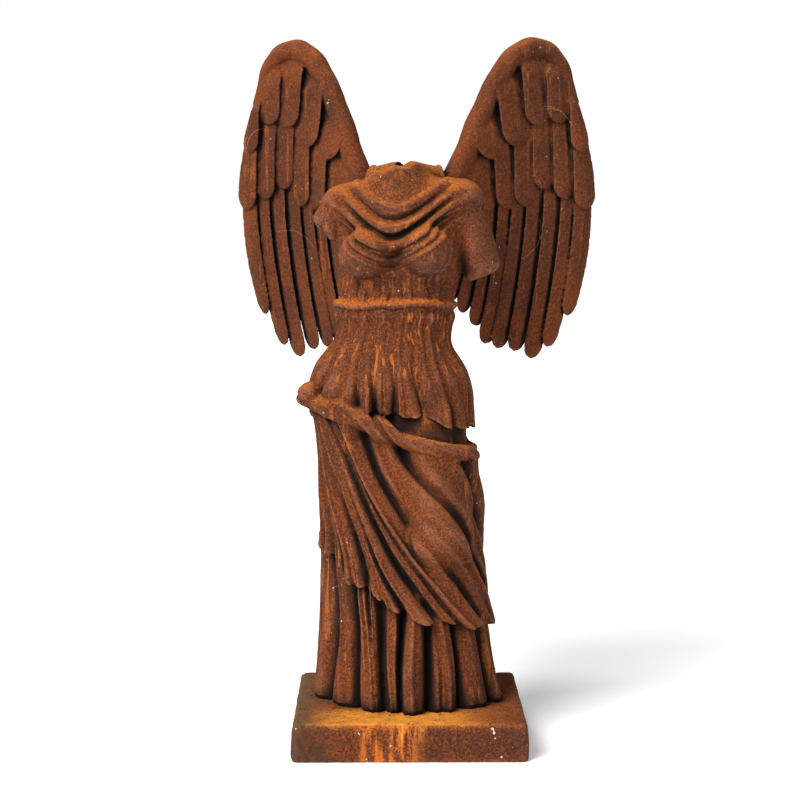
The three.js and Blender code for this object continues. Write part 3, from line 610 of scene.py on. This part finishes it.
wing = {
    "centre": -14, "root": (46, 84), "sweep": math.radians(28), "seam": 12, "span": 330,
    "arm": [(0, 925), (52, 985), (100, 1085), (152, 1172), (202, 1203), (246, 1180), (276, 1105)],
    "tips": [(12, 812), (46, 752), (88, 708), (134, 672), (184, 650), (238, 664), (292, 740)],
    "armRadii": [27, 24, 22, 21, 21, 17, 10],
    "bow": (24, 9),
    "ranks": [  # long feathers, then two rows of coverts
        {"count": 10, "reach": 1.0, "uneven": 0.015, "floor": 1, "thick": 2.4, "under": 1.9, "least": -12},
        {"count": 8, "reach": 0.5, "uneven": 0.035, "floor": 8, "thick": 3.0, "under": 5.5, "least": -6},
        {"count": 7, "reach": 0.27, "uneven": 0.035, "floor": 14, "thick": 3.0, "under": 5.5, "least": -6},
    ],
}
feather = {"relief": 10.5, "overlap": 0.72, "quill": 1.8, "barbs": 0.9, "blunt": 26, "heel": 34,
           "columns": 56, "rows": 120}
arm = {"flat": 0.92, "columns": 64, "rows": 160}
plate = {"middle": -1.6, "thick": 2.4, "reach": 0.89, "columns": 80, "rows": 24}
lastKey = len(wing["arm"]) - 1


def byKey(values):
    return curve(*enumerate(values))


armOut, armUp = byKey([k[0] for k in wing["arm"]]), byKey([k[1] for k in wing["arm"]])
tipOut, tipUp = byKey([k[0] for k in wing["tips"]]), byKey([k[1] for k in wing["tips"]])
armRadius = byKey(wing["armRadii"])


def onWing(side, out, up, forward):
    camber = (30 * np.sin(math.pi * np.clip(out / wing["span"], 0, 1.2))
              + 34 * np.clip((1050 - up) / 420, 0, 1.3) ** 2 - 10)
    back = camber - forward
    x = wing["root"][0] + out * math.cos(wing["sweep"]) - back * math.sin(wing["sweep"])
    y = wing["root"][1] + out * math.sin(wing["sweep"]) + back * math.cos(wing["sweep"])
    return np.stack([wing["centre"] + side * x, y, up], -1)


def alongFeather(key, run):
    arc = 4 * run * (1 - run)
    out = armOut(key) + (tipOut(key) - armOut(key)) * run + wing["bow"][0] * arc
    up = armUp(key) + (tipUp(key) - armUp(key)) * run + wing["bow"][1] * arc
    return out, up


def featherPlace(side, rank, number, u, v):
    row = wing["ranks"][rank]
    key, part = lastKey * (number + 0.5) / row["count"], 0.5 * lastKey / row["count"]
    reach = row["reach"] + row["uneven"] * math.sin(number * 1.9 + rank)
    length = math.dist(alongFeather(key, reach), alongFeather(key, 0))
    blunt = 1 - min(feather["blunt"] / length, 0.55)
    shown = wing["ranks"][rank + 1]["reach"] if rank < 2 else -1  # what the next row leaves of it
    a = tau * u
    s = v / feather["rows"]
    run = reach * s
    middle = np.stack(alongFeather(key, run), -1)
    on = np.stack(alongFeather(key, run + 0.01), -1)
    ahead = unit(on - middle)
    away = np.stack([-ahead[:, 1], ahead[:, 0]], -1)
    beside = np.stack(alongFeather(key + part, run), -1) - np.stack(alongFeather(key - part, run), -1)
    pitch = np.maximum(np.sum(beside * away, -1), 15)
    tip = roundEnd(s, blunt)
    heel = smoothStep(0, min(feather["heel"] / length, 0.5), s)
    wide = feather["overlap"] * (0.94 + 0.12 * np.sin(math.pi * s ** 1.6)) * tip * heel
    across = np.cos(a)
    bent = 2.5 * np.sin(2.2 * s + 1.7 * number) * s
    out, up = (middle + away * (across * wide * pitch + bent)[:, None]).T
    quill = feather["quill"] * bump(across, 0.06, 0.09) * smoothStep(1, 0.75, s)
    slant = np.abs(across) * 1.3 - s * row["reach"] * 24
    barbs = feather["barbs"] * (pleat(slant, 0.8) - 0.6) * smoothStep(0.08, 0.25, np.abs(across))
    face = np.sin(a)
    thick = row["thick"] * tip * heel * np.where(face < 0, row["under"], 1)
    rise = 0.4 + 0.6 * smoothStep(shown - 0.12, shown + 0.06, run)
    slope = feather["relief"] * rise * (0.5 - wide * across)
    arch = (1.3 + 2.2 * smoothStep(0.6, 0.98, s)) * (1 - across ** 2) * tip
    forward = (row["floor"] + slope + arch) * smoothStep(-22, 50, s * length) - 4.0
    forward = forward + face * thick + np.where(face > 0, (quill + barbs) * tip * heel, 0)
    return onWing(side, out, up, np.maximum(forward, row["least"]))


def platePlace(side, u, v):  # the thin web behind the feathers
    a, done = tau * u, v / plate["rows"]
    s = np.clip((np.cos(a) + 1) / 2, 0, 1)
    ends = np.sqrt(np.clip(1 - (2 * done - 1) ** 8, 0, 1))
    out, up = alongFeather(lastKey * np.clip(done, 0, 1), plate["reach"] * s)
    forward = plate["middle"] + plate["thick"] * np.sin(a) * ends
    return onWing(side, out, up, np.where((v == 0) | (v == plate["rows"]), plate["middle"], forward))


def armPlace(side, u, v):
    a, done = tau * u, v / arm["rows"]
    key = np.clip((done - 0.05) / 0.92, 0, 1) * lastKey
    ahead = unit(np.stack([read(key + 0.01) - read(key - 0.01) for read in (armOut, armUp)], -1))
    heel = np.clip(1 - done / 0.05, 0, 1)
    close = roundEnd(done, 0.97) * (v > 0)
    ribs = np.cos(3 * a + 0.6) * smoothStep(0, 1, key) * smoothStep(lastKey, lastKey - 1.5, key)
    r = armRadius(key) * close * (1 + 0.035 * np.sin(9 * key + 2 * np.cos(a)) + 0.05 * ribs)
    out = armOut(key) + ahead[:, 1] * r * np.cos(a) - 20 * heel
    up = armUp(key) - ahead[:, 0] * r * np.cos(a) - 22 * heel
    return onWing(side, out, up, r * np.sin(a) * arm["flat"])


boss = {"up": 940, "half": (31, 52), "collar": 2.5, "gap": 0.3, "inner": -48, "columns": 90, "rows": 40}
yoke = {"middle": (-14, 60, 932), "radii": (34, 28, 46), "columns": 72, "rows": 48}


def yokePlace(u, v):  # the iron between the neck and the two stubs on the back
    a, b = tau * u, math.pi * (v / yoke["rows"] - 0.5)
    away = np.stack([np.cos(a) * np.cos(b), np.sin(a) * np.cos(b), np.sin(b)], -1)
    return np.array(yoke["middle"]) + away * yoke["radii"]


def bossPlace(side, u, v):  # a stub on the back, with a collar where the wing meets it
    a, rows, inner = tau * u, boss["rows"], boss["inner"]
    out = inner + (wing["seam"] - boss["gap"] - inner) * np.clip(v / rows / 0.97, 0, 1)
    size = 1.15 - 0.15 * smoothStep(inner, 12, out) + boss["collar"] / 40 * bump(out, 9, 3.5)
    size = np.where((v == 0) | (v == rows), 0, size)
    up = boss["up"] + np.sin(a) * boss["half"][1] * size
    return onWing(side, out, up, np.cos(a) * boss["half"][0] * size)


def cutAtSeam(piece, side):  # flat where the wing meets the back
    away = Vector((side * math.cos(wing["sweep"]), math.sin(wing["sweep"]), 0))
    root = Vector((wing["centre"] + side * wing["root"][0], wing["root"][1], boss["up"]))
    bm = bmesh.new()
    bm.from_mesh(piece.data)
    bmesh.ops.bisect_plane(bm, geom=bm.verts[:] + bm.edges[:] + bm.faces[:], clear_inner=True, dist=1e-6,
                           plane_co=(root + away * wing["seam"]) / 1000, plane_no=away)
    bmesh.ops.holes_fill(bm, edges=[e for e in bm.edges if e.is_boundary], sides=0)
    bmesh.ops.triangulate(bm, faces=[f for f in bm.faces if len(f.verts) > 4])
    outward(bm, piece.data)


def turned(piece):  # the whole figure faces a little to one side
    piece.data.transform(Matrix.Rotation(body["turn"], 4, "Z"))
    piece.data.update()


# Casting the figure and the wings

limits = {"figure": 190000, "wing": 150000, "figureGrain": 2.0, "wingGrain": 1.7}

forms = [
    ("skirt", skirtPlace, skirt), ("bodice", bodicePlace, bodice), ("girdle", girdlePlace, girdle),
    ("overfold", partial(layerPlace, overfoldPlace, overfold), overfold),
    ("mantle", partial(layerPlace, mantlePlace, mantle), mantle), ("roll", rollPlace, roll),
    ("knot", knotPlace, knot), ("rightArm", partial(stubPlace, stubs["right"]), stubs),
    ("leftArm", partial(stubPlace, stubs["left"]), stubs), ("rightBoss", partial(bossPlace, 1), boss),
    ("leftBoss", partial(bossPlace, -1), boss), ("yoke", yokePlace, yoke),
]
shells = [gridPiece(*form) for form in forms]
print("figure forms made")
figure = castAsOne("figureCasting", shells, limits["figureGrain"], limits["figure"])
turned(figure)

wings = []
for side, name in ((-1, "leftWing"), (1, "rightWing")):
    shells = [gridPiece("arm", partial(armPlace, side), arm),
              gridPiece("plate", partial(platePlace, side), plate)]
    for rank, row in enumerate(wing["ranks"]):
        for number in range(row["count"]):
            shells.append(gridPiece("feather", partial(featherPlace, side, rank, number), feather))
    wings.append(castAsOne(name, shells, limits["wingGrain"], limits["wing"]))
    cutAtSeam(wings[-1], side)
    turned(wings[-1])


# The plinth: a square slab with worn round edges, a little narrower at the top

plinth = {
    "side": 400, "height": 65, "corner": 14, "edge": 6, "taper": 0.018, "cell": 3.4,
    "knocks": 2.6, "chips": 1.1, "pits": 2.0, "waves": 0.8, "skin": 0.35,  # how deep its wear is
}


def makePlinth():
    half, height = plinth["side"] / 2, plinth["height"]
    corner, edge = plinth["corner"], plinth["edge"]

    def upright(e):
        return abs(e.verts[0].co.z - e.verts[1].co.z) > 0.5

    bm = bmesh.new()
    bmesh.ops.create_cube(bm, size=1)
    level = [e for e in bm.edges if not upright(e)]
    bmesh.ops.subdivide_edges(bm, edges=level, cuts=int(plinth["side"] / plinth["cell"]), use_grid_fill=True)
    sides = [e for e in bm.edges if upright(e)]
    bmesh.ops.subdivide_edges(bm, edges=sides, cuts=int(height / plinth["cell"]), use_grid_fill=True)
    co = np.array([v.co[:] for v in bm.verts]) * (2 * half, 2 * half, height)
    flat = np.clip(co[:, :2], -half + corner, half - corner)
    away = co[:, :2] - flat
    far = np.linalg.norm(away, axis=1, keepdims=True)
    away = away / np.maximum(far, 1e-9)
    core = flat + away * np.minimum(far, corner - edge)
    core = np.concatenate([core, np.clip(co[:, 2:], -height / 2 + edge, height / 2 - edge)], 1)
    shell = np.concatenate([flat + away * np.minimum(far, corner), co[:, 2:]], 1)
    length = np.linalg.norm(shell - core, axis=1, keepdims=True)
    points = core + (shell - core) / np.maximum(length, 1e-9) * np.minimum(length, edge)
    points[:, 2] += height / 2
    points[:, :2] *= 1 - plinth["taper"] * points[:, 2:] / height
    for v, p in zip(bm.verts, points):
        v.co = Vector(p) / 1000
    bmesh.ops.remove_doubles(bm, verts=bm.verts, dist=1e-5)
    return added(outward(bm, bpy.data.meshes.new("plinthSlab")), "plinthSlab")


slab = makePlinth()
print("plinth made:", 2 * len(slab.data.polygons), "faces")


# What rust, painted shade and painted highlights follow: hollows, ridges, how open a place is to the sky, and
# how far it faces up

survey = {"rays": 12, "reach": 0.11}


def readAll(things, name, width, kind=float):
    values = np.empty(len(things) * width, kind)
    things.foreach_get(name, values)
    return values.reshape(-1, width)


def surface(mesh):  # its points and the way they face
    return readAll(mesh.vertices, "co", 3), readAll(mesh.vertices, "normal", 3)


def spread(values, pairs, rounds):  # evens values out between neighbours
    count = len(values)
    ends = np.concatenate([pairs[:, 0], pairs[:, 1]])
    others = np.concatenate([pairs[:, 1], pairs[:, 0]])
    share = np.maximum(np.bincount(ends, minlength=count), 1)
    flat = values.reshape(count, -1)
    for turn in range(rounds):
        mean = np.stack([np.bincount(ends, flat[others, k], count) for k in range(flat.shape[1])], 1)
        flat = 0.5 * flat + 0.5 * mean / share[:, None]
    return flat.reshape(values.shape)


def openness(tree, points, normals):
    rays, reach = survey["rays"], survey["reach"]
    side = np.cross(normals, np.where(np.abs(normals[:, 2:]) < 0.9, (0, 0, 1), (1, 0, 0)))
    side = unit(side)
    other = np.cross(normals, side)
    start = points + normals * 0.0012
    order = np.arange(len(points))
    free = np.zeros(len(points))
    for k in range(rays):
        lift = (k + 0.5) / rays
        around = 2.39996 * k + 1.9 * order  # the golden angle, so that the rays spread evenly
        flat, up = math.sqrt(lift), math.sqrt(1 - lift)
        ray = side * (np.cos(around) * flat)[:, None] + other * (np.sin(around) * flat)[:, None] + normals * up
        for i, (a, b) in enumerate(zip(start.tolist(), ray.tolist())):
            far = tree.ray_cast(a, b, reach)[3]
            free[i] += 1 if far is None else far / reach
    return free / rays


def store(piece, name, values):
    attribute = piece.data.attributes.new(name, "FLOAT", "POINT")
    attribute.data.foreach_set("value", values.astype(np.float32))


def surveyed(pieces):
    bm = bmesh.new()
    for piece in pieces:
        bm.from_mesh(piece.data)
    tree = BVHTree.FromBMesh(bm)
    bm.free()
    for piece in pieces:
        points, normals = surface(piece.data)
        pairs = readAll(piece.data.edges, "vertices", 2, np.int64)
        near, wide = spread(points, pairs, 8), spread(points, pairs, 60)
        store(piece, "ridge", -np.sum((near - points) * normals, 1) * 1000)
        store(piece, "swell", -np.sum((wide - points) * normals, 1) * 1000)
        store(piece, "upward", spread(normals[:, 2], pairs, 4))
        store(piece, "open", spread(openness(tree, points, normals), pairs, 3))
        print(piece.name, "surveyed")


# Rough casting: lumps and pits all over, and torn iron where the neck and arms broke off

casting = {"skin": [(14, 0.5, 1), (5, 0.28, 2)], "torn": 1.3}  # lumps and grains: size, height, seed


def roughened(piece, more=None):
    points, normals = surface(piece.data)
    mm = points * 1000
    lift = sum(height * wander(mm, size, seed) for size, height, seed in casting["skin"])
    if more:
        lift = lift + more(mm)
    points = points + normals * (lift / 1000)[:, None]
    points[:, 2] = np.maximum(points[:, 2], 0)  # the underside stays flat on the ground
    piece.data.vertices.foreach_set("co", points.astype(np.float32).ravel())
    piece.data.update()


def tornIron(mm):  # at the neck and the ends of the arms, which are turned with the figure
    c, s = math.cos(-body["turn"]), math.sin(-body["turn"])
    x, y, z = mm[:, 0] * c - mm[:, 1] * s, mm[:, 0] * s + mm[:, 1] * c, mm[:, 2]
    where = smoothStep(-5, 2, z - neckBreak(x, y)) * smoothStep(970, 976, z)
    for name in ("right", "left"):
        start, end = np.array(stubs[name]["from"], float), np.array(stubs[name]["to"], float)
        beyond = np.stack([x, y, z], -1) - end
        atEnd = smoothStep(-9, -2, beyond @ unit(end - start))
        where = np.maximum(where, atEnd * smoothStep(75, 60, np.linalg.norm(beyond, axis=-1)))
    return casting["torn"] * where * (wander(mm, 9, 3) + 0.6 * wander(mm, 4, 4))


def wornSlab(mm):  # edges knocked about, pits on the top, and a rough skin
    half, z = plinth["side"] / 2, mm[:, 2]
    inside = [half - np.abs(mm[:, 0]), half - np.abs(mm[:, 1]), np.minimum(plinth["height"] - z, z)]
    edge = smoothStep(16, 4, np.sort(np.stack(inside), 0)[1])
    knocks = plinth["knocks"] * smoothStep(0.1, 0.6, wander(mm, 17, 21))
    knocks = knocks + plinth["chips"] * (1 + wander(mm, 6, 22))
    pits = smoothStep(0.42, 0.62, wander(mm, 7, 23)) * smoothStep(0, 0.3, wander(mm, 60, 24) + 0.15)
    skin = plinth["waves"] * wander(mm, 40, 25) + plinth["skin"] * wander(mm, 8, 26)
    return (skin - edge * knocks - plinth["pits"] * pits) * smoothStep(0, 3, z)


roughened(figure, tornIron)
for piece in wings:
    roughened(piece)
roughened(slab, wornSlab)
surveyed([figure, *wings, slab])


# Materials: layers of rust with painted shade and painted highlights, mixed by what the survey found and by
# noise on the object's coordinates

rust = {  # colours as seen, 0 to 255
    # dark and pocket also paint shade in the pockets; sheen is a painted highlight; worn is pale wear and also
    # a painted highlight on rims
    "brown": (100, 50, 22), "plum": (72, 38, 23), "dark": (32, 16, 9), "pocket": (9, 5, 3),
    "ember": (156, 74, 26), "orange": (184, 98, 34), "bright": (214, 134, 50), "yellow": (216, 138, 46),
    "sheen": (126, 77, 53), "worn": (160, 98, 62), "moss": (92, 76, 52), "slate": (42, 40, 32),
    "chalk": (200, 190, 172),
}


def rgb(name):  # as the shader takes it
    seen = [c / 255 for c in rust[name]]
    return tuple(c / 12.92 if c <= 0.04 else ((c + 0.055) / 1.055) ** 2.4 for c in seen) + (1,)


class Wire:  # a socket that takes part in sums
    def __init__(self, tree, socket=None):
        self.tree, self.socket = tree, socket

    def node(self, kind, settings, inputs, output=0):
        made = self.tree.nodes.new(kind)
        for name, value in settings.items():
            setattr(made, name, value)
        self.fill(made, inputs)
        return Wire(self.tree, made.outputs[output])

    def fill(self, made, inputs):  # a node's sockets, with values or with other sockets
        for name, value in inputs.items():
            if isinstance(value, Wire):
                self.tree.links.new(value.socket, made.inputs[name])
            else:
                made.inputs[name].default_value = value

    def sum(self, operation, *values):
        return self.node("ShaderNodeMath", {"operation": operation}, dict(enumerate(values)))

    def __add__(self, other):
        return self.sum("ADD", self, other)

    def __radd__(self, other):
        return self.sum("ADD", other, self)

    def __sub__(self, other):
        return self.sum("SUBTRACT", self, other)

    def __rsub__(self, other):
        return self.sum("SUBTRACT", other, self)

    def __mul__(self, other):
        return self.sum("MULTIPLY", self, other)

    def __rmul__(self, other):
        return self.sum("MULTIPLY", other, self)

    def step(self, low, high, start=0.0, end=1.0):  # smooth from start to end as this goes from low to high
        return self.node("ShaderNodeMapRange", {"interpolation_type": "SMOOTHSTEP"},
                         {0: self, 1: low, 2: high, 3: start, 4: end})

    def band(self, low, lowIn, highIn, high):  # 1 in between and 0 outside
        return self.step(low, lowIn) * self.step(highIn, high, 1, 0)

    def noise(self, scale, detail, rough, twist=0.0):
        return self.node("ShaderNodeTexNoise", {}, {"Vector": self, "Scale": scale, "Detail": detail,
                                                    "Roughness": rough, "Distortion": twist})

    def vector(self, operation, by=(0, 0, 0), output="Vector"):
        return self.node("ShaderNodeVectorMath", {"operation": operation}, {0: self, 1: by}, output)

    def parts(self):  # its x, y and z
        return [self.node("ShaderNodeSeparateXYZ", {}, {0: self}, index) for index in range(3)]

    def stretched(self, z):  # a pattern on this is drawn out upwards
        return self.node("ShaderNodeMapping", {}, {"Vector": self, "Scale": (1, 1, z)})

    def over(self, name, factor):  # this colour with another laid over it
        return self.node("ShaderNodeMix", {"data_type": "RGBA"}, {0: factor, 6: self, 7: rgb(name)}, 2)


def newMaterial(name):
    material = bpy.data.materials.new(name)
    material.use_nodes = True
    return material, material.node_tree.nodes["Principled BSDF"], Wire(material.node_tree)


def rustMaterial(name, paint):
    material, shader, wire = newMaterial(name)
    place = wire.node("ShaderNodeTexCoord", {}, {}, "Object")

    def seen(name):
        return wire.node("ShaderNodeAttribute", {"attribute_name": name}, {}, "Fac")

    colour, rough, height = paint(wire, place, seen)
    relief = wire.node("ShaderNodeBump", {}, {"Strength": 1.0, "Distance": 0.0018, "Height": height})
    wire.fill(shader, {"Base Color": colour, "Roughness": rough, "Normal": relief, "Specular IOR Level": 0.18})
    return material


# dust scales the orange dust, light the painted sheen and the painted highlight on rims, grain the fine grains
def rustLayers(wire, place, seen, dust=1.0, light=1.0, grain=1.0):
    opened, ridge, swell, upward = seen("open"), seen("ridge"), seen("swell"), seen("upward")
    broad, mid, tone = place.noise(6, 3, 0.55), place.noise(34, 4, 0.62), place.noise(3.1, 2, 0.5)
    fine, grit = place.noise(270, 4, 0.75), place.noise(700, 3, 0.7)
    speck, patch, cloud = fine * 0.6 + grit * 0.4, broad * 0.7 + mid * 0.3, broad * 0.6 + mid * 0.4
    colour = wire.node("ShaderNodeMix", {"data_type": "RGBA"},
                       {0: patch.step(0.42, 0.58) * 0.9, 6: rgb("brown"), 7: rgb("plum")}, 2)
    colour = colour.over("plum", tone.step(0.48, 0.60) * 0.55)
    embers = speck.step(0.48, 0.64) * (1 - patch).step(0.36, 0.60, 0.25, 0.8)
    colour = colour.over("ember", embers * grain)
    colour = colour.over("dark", (1 - speck).step(0.46, 0.62) * (0.75 * grain))
    # a grey-purple painted sheen, a painted highlight, on broad round places, and paler rims: rubbed wear with
    # a painted highlight
    sheenHighlight = swell.step(0.3, 4.5) * opened.step(0.5, 0.9) * (1 - patch.step(0.36, 0.56, 0.0, 0.6))
    colour = colour.over("sheen", sheenHighlight * speck.step(0.38, 0.58, 0.25, 0.85) * light)
    rubbedAndHighlit = (ridge + (speck - 0.5) * 1.4).step(0.5, 2.0) * opened.step(0.5, 0.85)
    colour = colour.over("worn", rubbedAndHighlit * speck.step(0.38, 0.58, 0.4, 1) * (0.7 * light))
    # orange dust lies on what faces up, and in the open bottoms of folds
    lies = (upward + (mid - 0.5) * 1.1 + (broad - 0.5) * 0.9).step(0.34, 1.0)
    hollows = (1 - ridge).step(1.1, 2.2) * opened.step(0.22, 0.5) * cloud.step(0.46, 0.62)
    dusty = wire.sum("MAXIMUM", lies * 0.85, hollows * 0.8) * speck.step(0.40, 0.58, 0.2, 1) * dust
    colour = colour.over("orange", dusty)
    colour = colour.over("bright", dusty * grit.step(0.48, 0.66) * 0.6)
    # thin runs down the iron
    lines = place.stretched(0.035).noise(95, 1, 0.5, 0.3)
    wet = cloud.step(0.48, 0.58) * (1 - upward.step(0.15, 0.5)) * opened.step(0.5, 0.8)
    runs = lines.step(0.60, 0.66) * wet * fine.step(0.35, 0.55, 0.3, 1)
    colour = colour.over("orange", runs * (0.5 * dust))
    # painted shade in the pockets, where little sky is open, together with dark grime and patina there
    colour = colour.over("dark", (1 - opened).step(0.06, 0.42) * 0.9)
    # the deepest pockets are painted near black: painted shade, with dark patina
    pocketShade = (1 - opened + (speck - 0.5) * 0.3).step(0.26, 0.56)
    colour = colour.over("pocket", pocketShade * 0.95)
    # a few chips show pale
    chips = place.noise(130, 1, 0.5).step(0.765, 0.785) * opened.step(0.6, 0.8) * broad.step(0.5, 0.6)
    colour = colour.over("chalk", chips * 0.7)
    rough = 0.93 - rubbedAndHighlit * 0.25 - sheenHighlight * 0.2
    pits = wire.node("ShaderNodeTexVoronoi", {}, {"Vector": place, "Scale": 210}).step(0.02, 0.3)
    height = fine * 0.9 + grit * 0.4 + mid * 0.5 + pits * 0.3
    return colour, rough, height, speck


rain = {  # heights in metres where runs start to fade in, are full, and fade out
    "belly": (0.60, 0.65, 0.732, 0.752), "thigh": (0.40, 0.45, 0.51, 0.56), "cord": (0.744, 0.75, 0.764, 0.77),
}


def paintFigure(wire, place, seen):
    colour, rough, height, speck = rustLayers(wire, place, seen)
    # rain has drawn rust down over the belly and thighs
    x, y, z = place.parts()
    ahead = y.step(-0.02, 0.02, 1, 0)
    wavy = wire.node("ShaderNodeCombineXYZ", {}, {0: (place.noise(22, 2, 0.5) - 0.5) * 0.012})
    lines = place.vector("ADD", wavy).stretched(0.02).noise(135, 1, 0.4)
    belly, thigh = z.band(*rain["belly"]) * ahead, z.band(*rain["thigh"]) * x.step(0.01, 0.06) * ahead
    ends = place.stretched(0.3).noise(40, 2, 0.5).step(0.38, 0.52)
    drawn = lines.step(0.61, 0.68) * (belly + thigh * 0.5) * ends * seen("open").step(0.45, 0.75)
    colour = colour.over("orange", drawn * speck.step(0.34, 0.5, 0.35, 1) * 0.7)
    cord = z.band(*rain["cord"]) * seen("upward").step(-0.3, 0.5)
    colour = colour.over("orange", cord * speck.step(0.40, 0.56) * 0.7)
    return colour, rough, height


scratches = [  # middle, radius and the side it bows to, seen from the front
    ((0.255, 1.055), 0.040, (0.5, 0.85)), ((0.245, 1.045), 0.055, (0.7, 0.7)),
    ((0.21, 0.955), 0.030, (0.9, 0.3)), ((-0.25, 1.02), 0.045, (-0.8, 0.5)),
    ((0.18, 0.885), 0.06, (0.8, -0.4)), ((-0.22, 0.83), 0.05, (0.4, 0.9)),
]


def paintWing(wire, place, seen):
    colour, rough, height, speck = rustLayers(wire, place, seen, dust=0.6, light=1.1, grain=0.65)
    limb = seen("swell").step(4, 9) * seen("open").step(0.7, 0.9)
    colour = colour.over("ember", limb * seen("upward").step(-0.1, 0.5) * speck.step(0.38, 0.56) * 0.7)
    wobble = place.noise(25, 2, 0.5) * 0.014 - 0.007
    flat = place.vector("MULTIPLY", (1, 0, 1))
    for (x, z), radius, bow in scratches:
        away = flat.vector("SUBTRACT", (x, 0, z))
        off = wire.sum("ABSOLUTE", away.vector("LENGTH", output="Value") + wobble - radius)
        toward = away.vector("DOT_PRODUCT", (bow[0], 0, bow[1]), "Value")
        line = (1 - off * 1000).step(0.0, 0.8) * (toward - radius * 0.6).step(0, 0.01)
        colour = colour.over("worn", line * speck.step(0.4, 0.55) * 0.8)
    return colour, rough, height


def paintPlinth(wire, place, seen):
    colour, rough, height, speck = rustLayers(wire, place, seen, dust=0.3, light=0.7)
    x, y, z = place.parts()
    top = seen("upward").step(0.5, 0.9)
    side = 1 - top
    broad, mid = place.noise(9, 3, 0.6) - 0.5, place.noise(45, 4, 0.7) - 0.5
    blur = broad * 0.10 + mid * 0.05
    # grey-green dirt at the left, black low down in the corner
    left = (blur - x).step(0.10, 0.19)
    colour = colour.over("moss", left * top * speck.step(0.35, 0.6, 0.35, 0.85))
    low = (blur * 2.2 - x - z * 0.9).step(0.06, 0.2) * side
    colour = colour.over("slate", low * speck.step(0.4, 0.6, 0.3, 0.95))
    # bright powder pooled in front of the hem
    powder = x.band(-0.20, -0.08, 0.10, 0.20) * top * (0.6 + mid)
    colour = colour.over("orange", powder * speck.step(0.4, 0.6, 0.3, 1))
    pool = (x + blur).band(-0.18, -0.09, 0.05, 0.15) * (blur - y).step(0.07, 0.15) * top
    colour = colour.over("yellow", pool * (speck * 0.7 + mid * 0.4 + 0.2).step(0.44, 0.60, 0.3, 1))
    colour = colour.over("bright", pool * speck.step(0.50, 0.62) * 0.8)
    holes = place.noise(105, 2, 0.5).step(0.66, 0.70) * top
    colour = colour.over("dark", holes * 0.85)
    # and run down the front
    lines = place.stretched(0.12).noise(70, 3, 0.6)
    middle = (x + blur * 0.5).band(-0.115, -0.065, -0.01, 0.04) * side
    colour = colour.over("orange", middle * (lines + speck * 0.5).step(0.66, 0.86) * 0.95)
    shine = (lines + speck * 0.6).step(0.84, 1.0) * (z + mid * 0.04).step(0.01, 0.05)
    colour = colour.over("yellow", middle * shine)
    lip = (z + mid * 0.02).step(0.052, 0.064) * side * x.band(-0.18, -0.12, 0.06, 0.16)
    colour = colour.over("orange", lip * speck.step(0.4, 0.6) * 0.8)
    spots = place.noise(75, 1, 0.5).step(0.742, 0.755) * side
    colour = colour.over("chalk", spots * 0.85)
    return colour, rough, height - holes * 1.5


finishes = {
    "figure_iron": rustMaterial("rustOnTheFigure", paintFigure),
    "wing_iron": rustMaterial("rustOnTheWings", paintWing),
    "plinth_iron": rustMaterial("rustOnThePlinth", paintPlinth),
}

for piece, slot, node in ((figure, "figure_iron", "figure"), (wings[0], "wing_iron", "wing_left"),
                          (wings[1], "wing_iron", "wing_right"), (slab, "plinth_iron", "plinth")):
    for face in piece.data.polygons:
        face.use_smooth = True
    piece.data.materials.clear()
    piece.data.materials.append(finishes[slot])
    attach(piece, "root")
    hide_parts(node)
print("materials made")


# Floor, light and camera

studio = {
    "paper": 0.85, "glow": 0.28, "air": 0.20,
    "lights": [  # where from, strength, how wide in degrees
        ("key", (-0.50, -0.58, 0.64), 5.5, 36),
        ("fill", (0.75, -0.6, 0.3), 0.5, 60),
    ],
    "camera": {"at": (-0.04, -3.5, 0.91), "tilt": 84.74, "turn": -0.404, "lens": 91.3},
}


def makeFloor():
    bm = bmesh.new()
    bmesh.ops.create_grid(bm, x_segments=1, y_segments=1, size=30)
    mesh = asMesh(bm, "floor")
    material, shader, wire = newMaterial("paper")
    wire.fill(shader, {"Base Color": (studio["paper"],) * 3 + (1,), "Roughness": 0.9,
                       "Emission Color": (1, 1, 1, 1), "Emission Strength": studio["glow"]})
    mesh.materials.append(material)
    added(mesh, "floor")


def makeLight():
    world = bpy.data.worlds.new("studio")
    world.use_nodes = True
    wire = Wire(world.node_tree)
    straight = wire.node("ShaderNodeLightPath", {}, {}, "Is Camera Ray")
    shown = straight * (1 - studio["air"]) + studio["air"]  # white behind the part, dimmer as light on it
    wire.fill(world.node_tree.nodes["Background"], {"Color": (1, 1, 1, 1), "Strength": shown})
    bpy.context.scene.world = world
    for name, at, strength, width in studio["lights"]:
        light = bpy.data.lights.new(name, "SUN")
        light.energy, light.angle = strength, math.radians(width)
        lamp = added(light, name, Vector(at) * 4)
        lamp.rotation_mode = "QUATERNION"
        lamp.rotation_quaternion = (-lamp.location).to_track_quat("-Z", "Y")


makeFloor()
makeLight()
lens = bpy.data.cameras.new("camera")
lens.lens, lens.sensor_width = studio["camera"]["lens"], 36
camera = added(lens, "camera", studio["camera"]["at"])
camera.rotation_euler = (math.radians(studio["camera"]["tilt"]), 0, math.radians(studio["camera"]["turn"]))
bpy.context.scene.camera = camera
bpy.context.scene.view_settings.view_transform = "Standard"
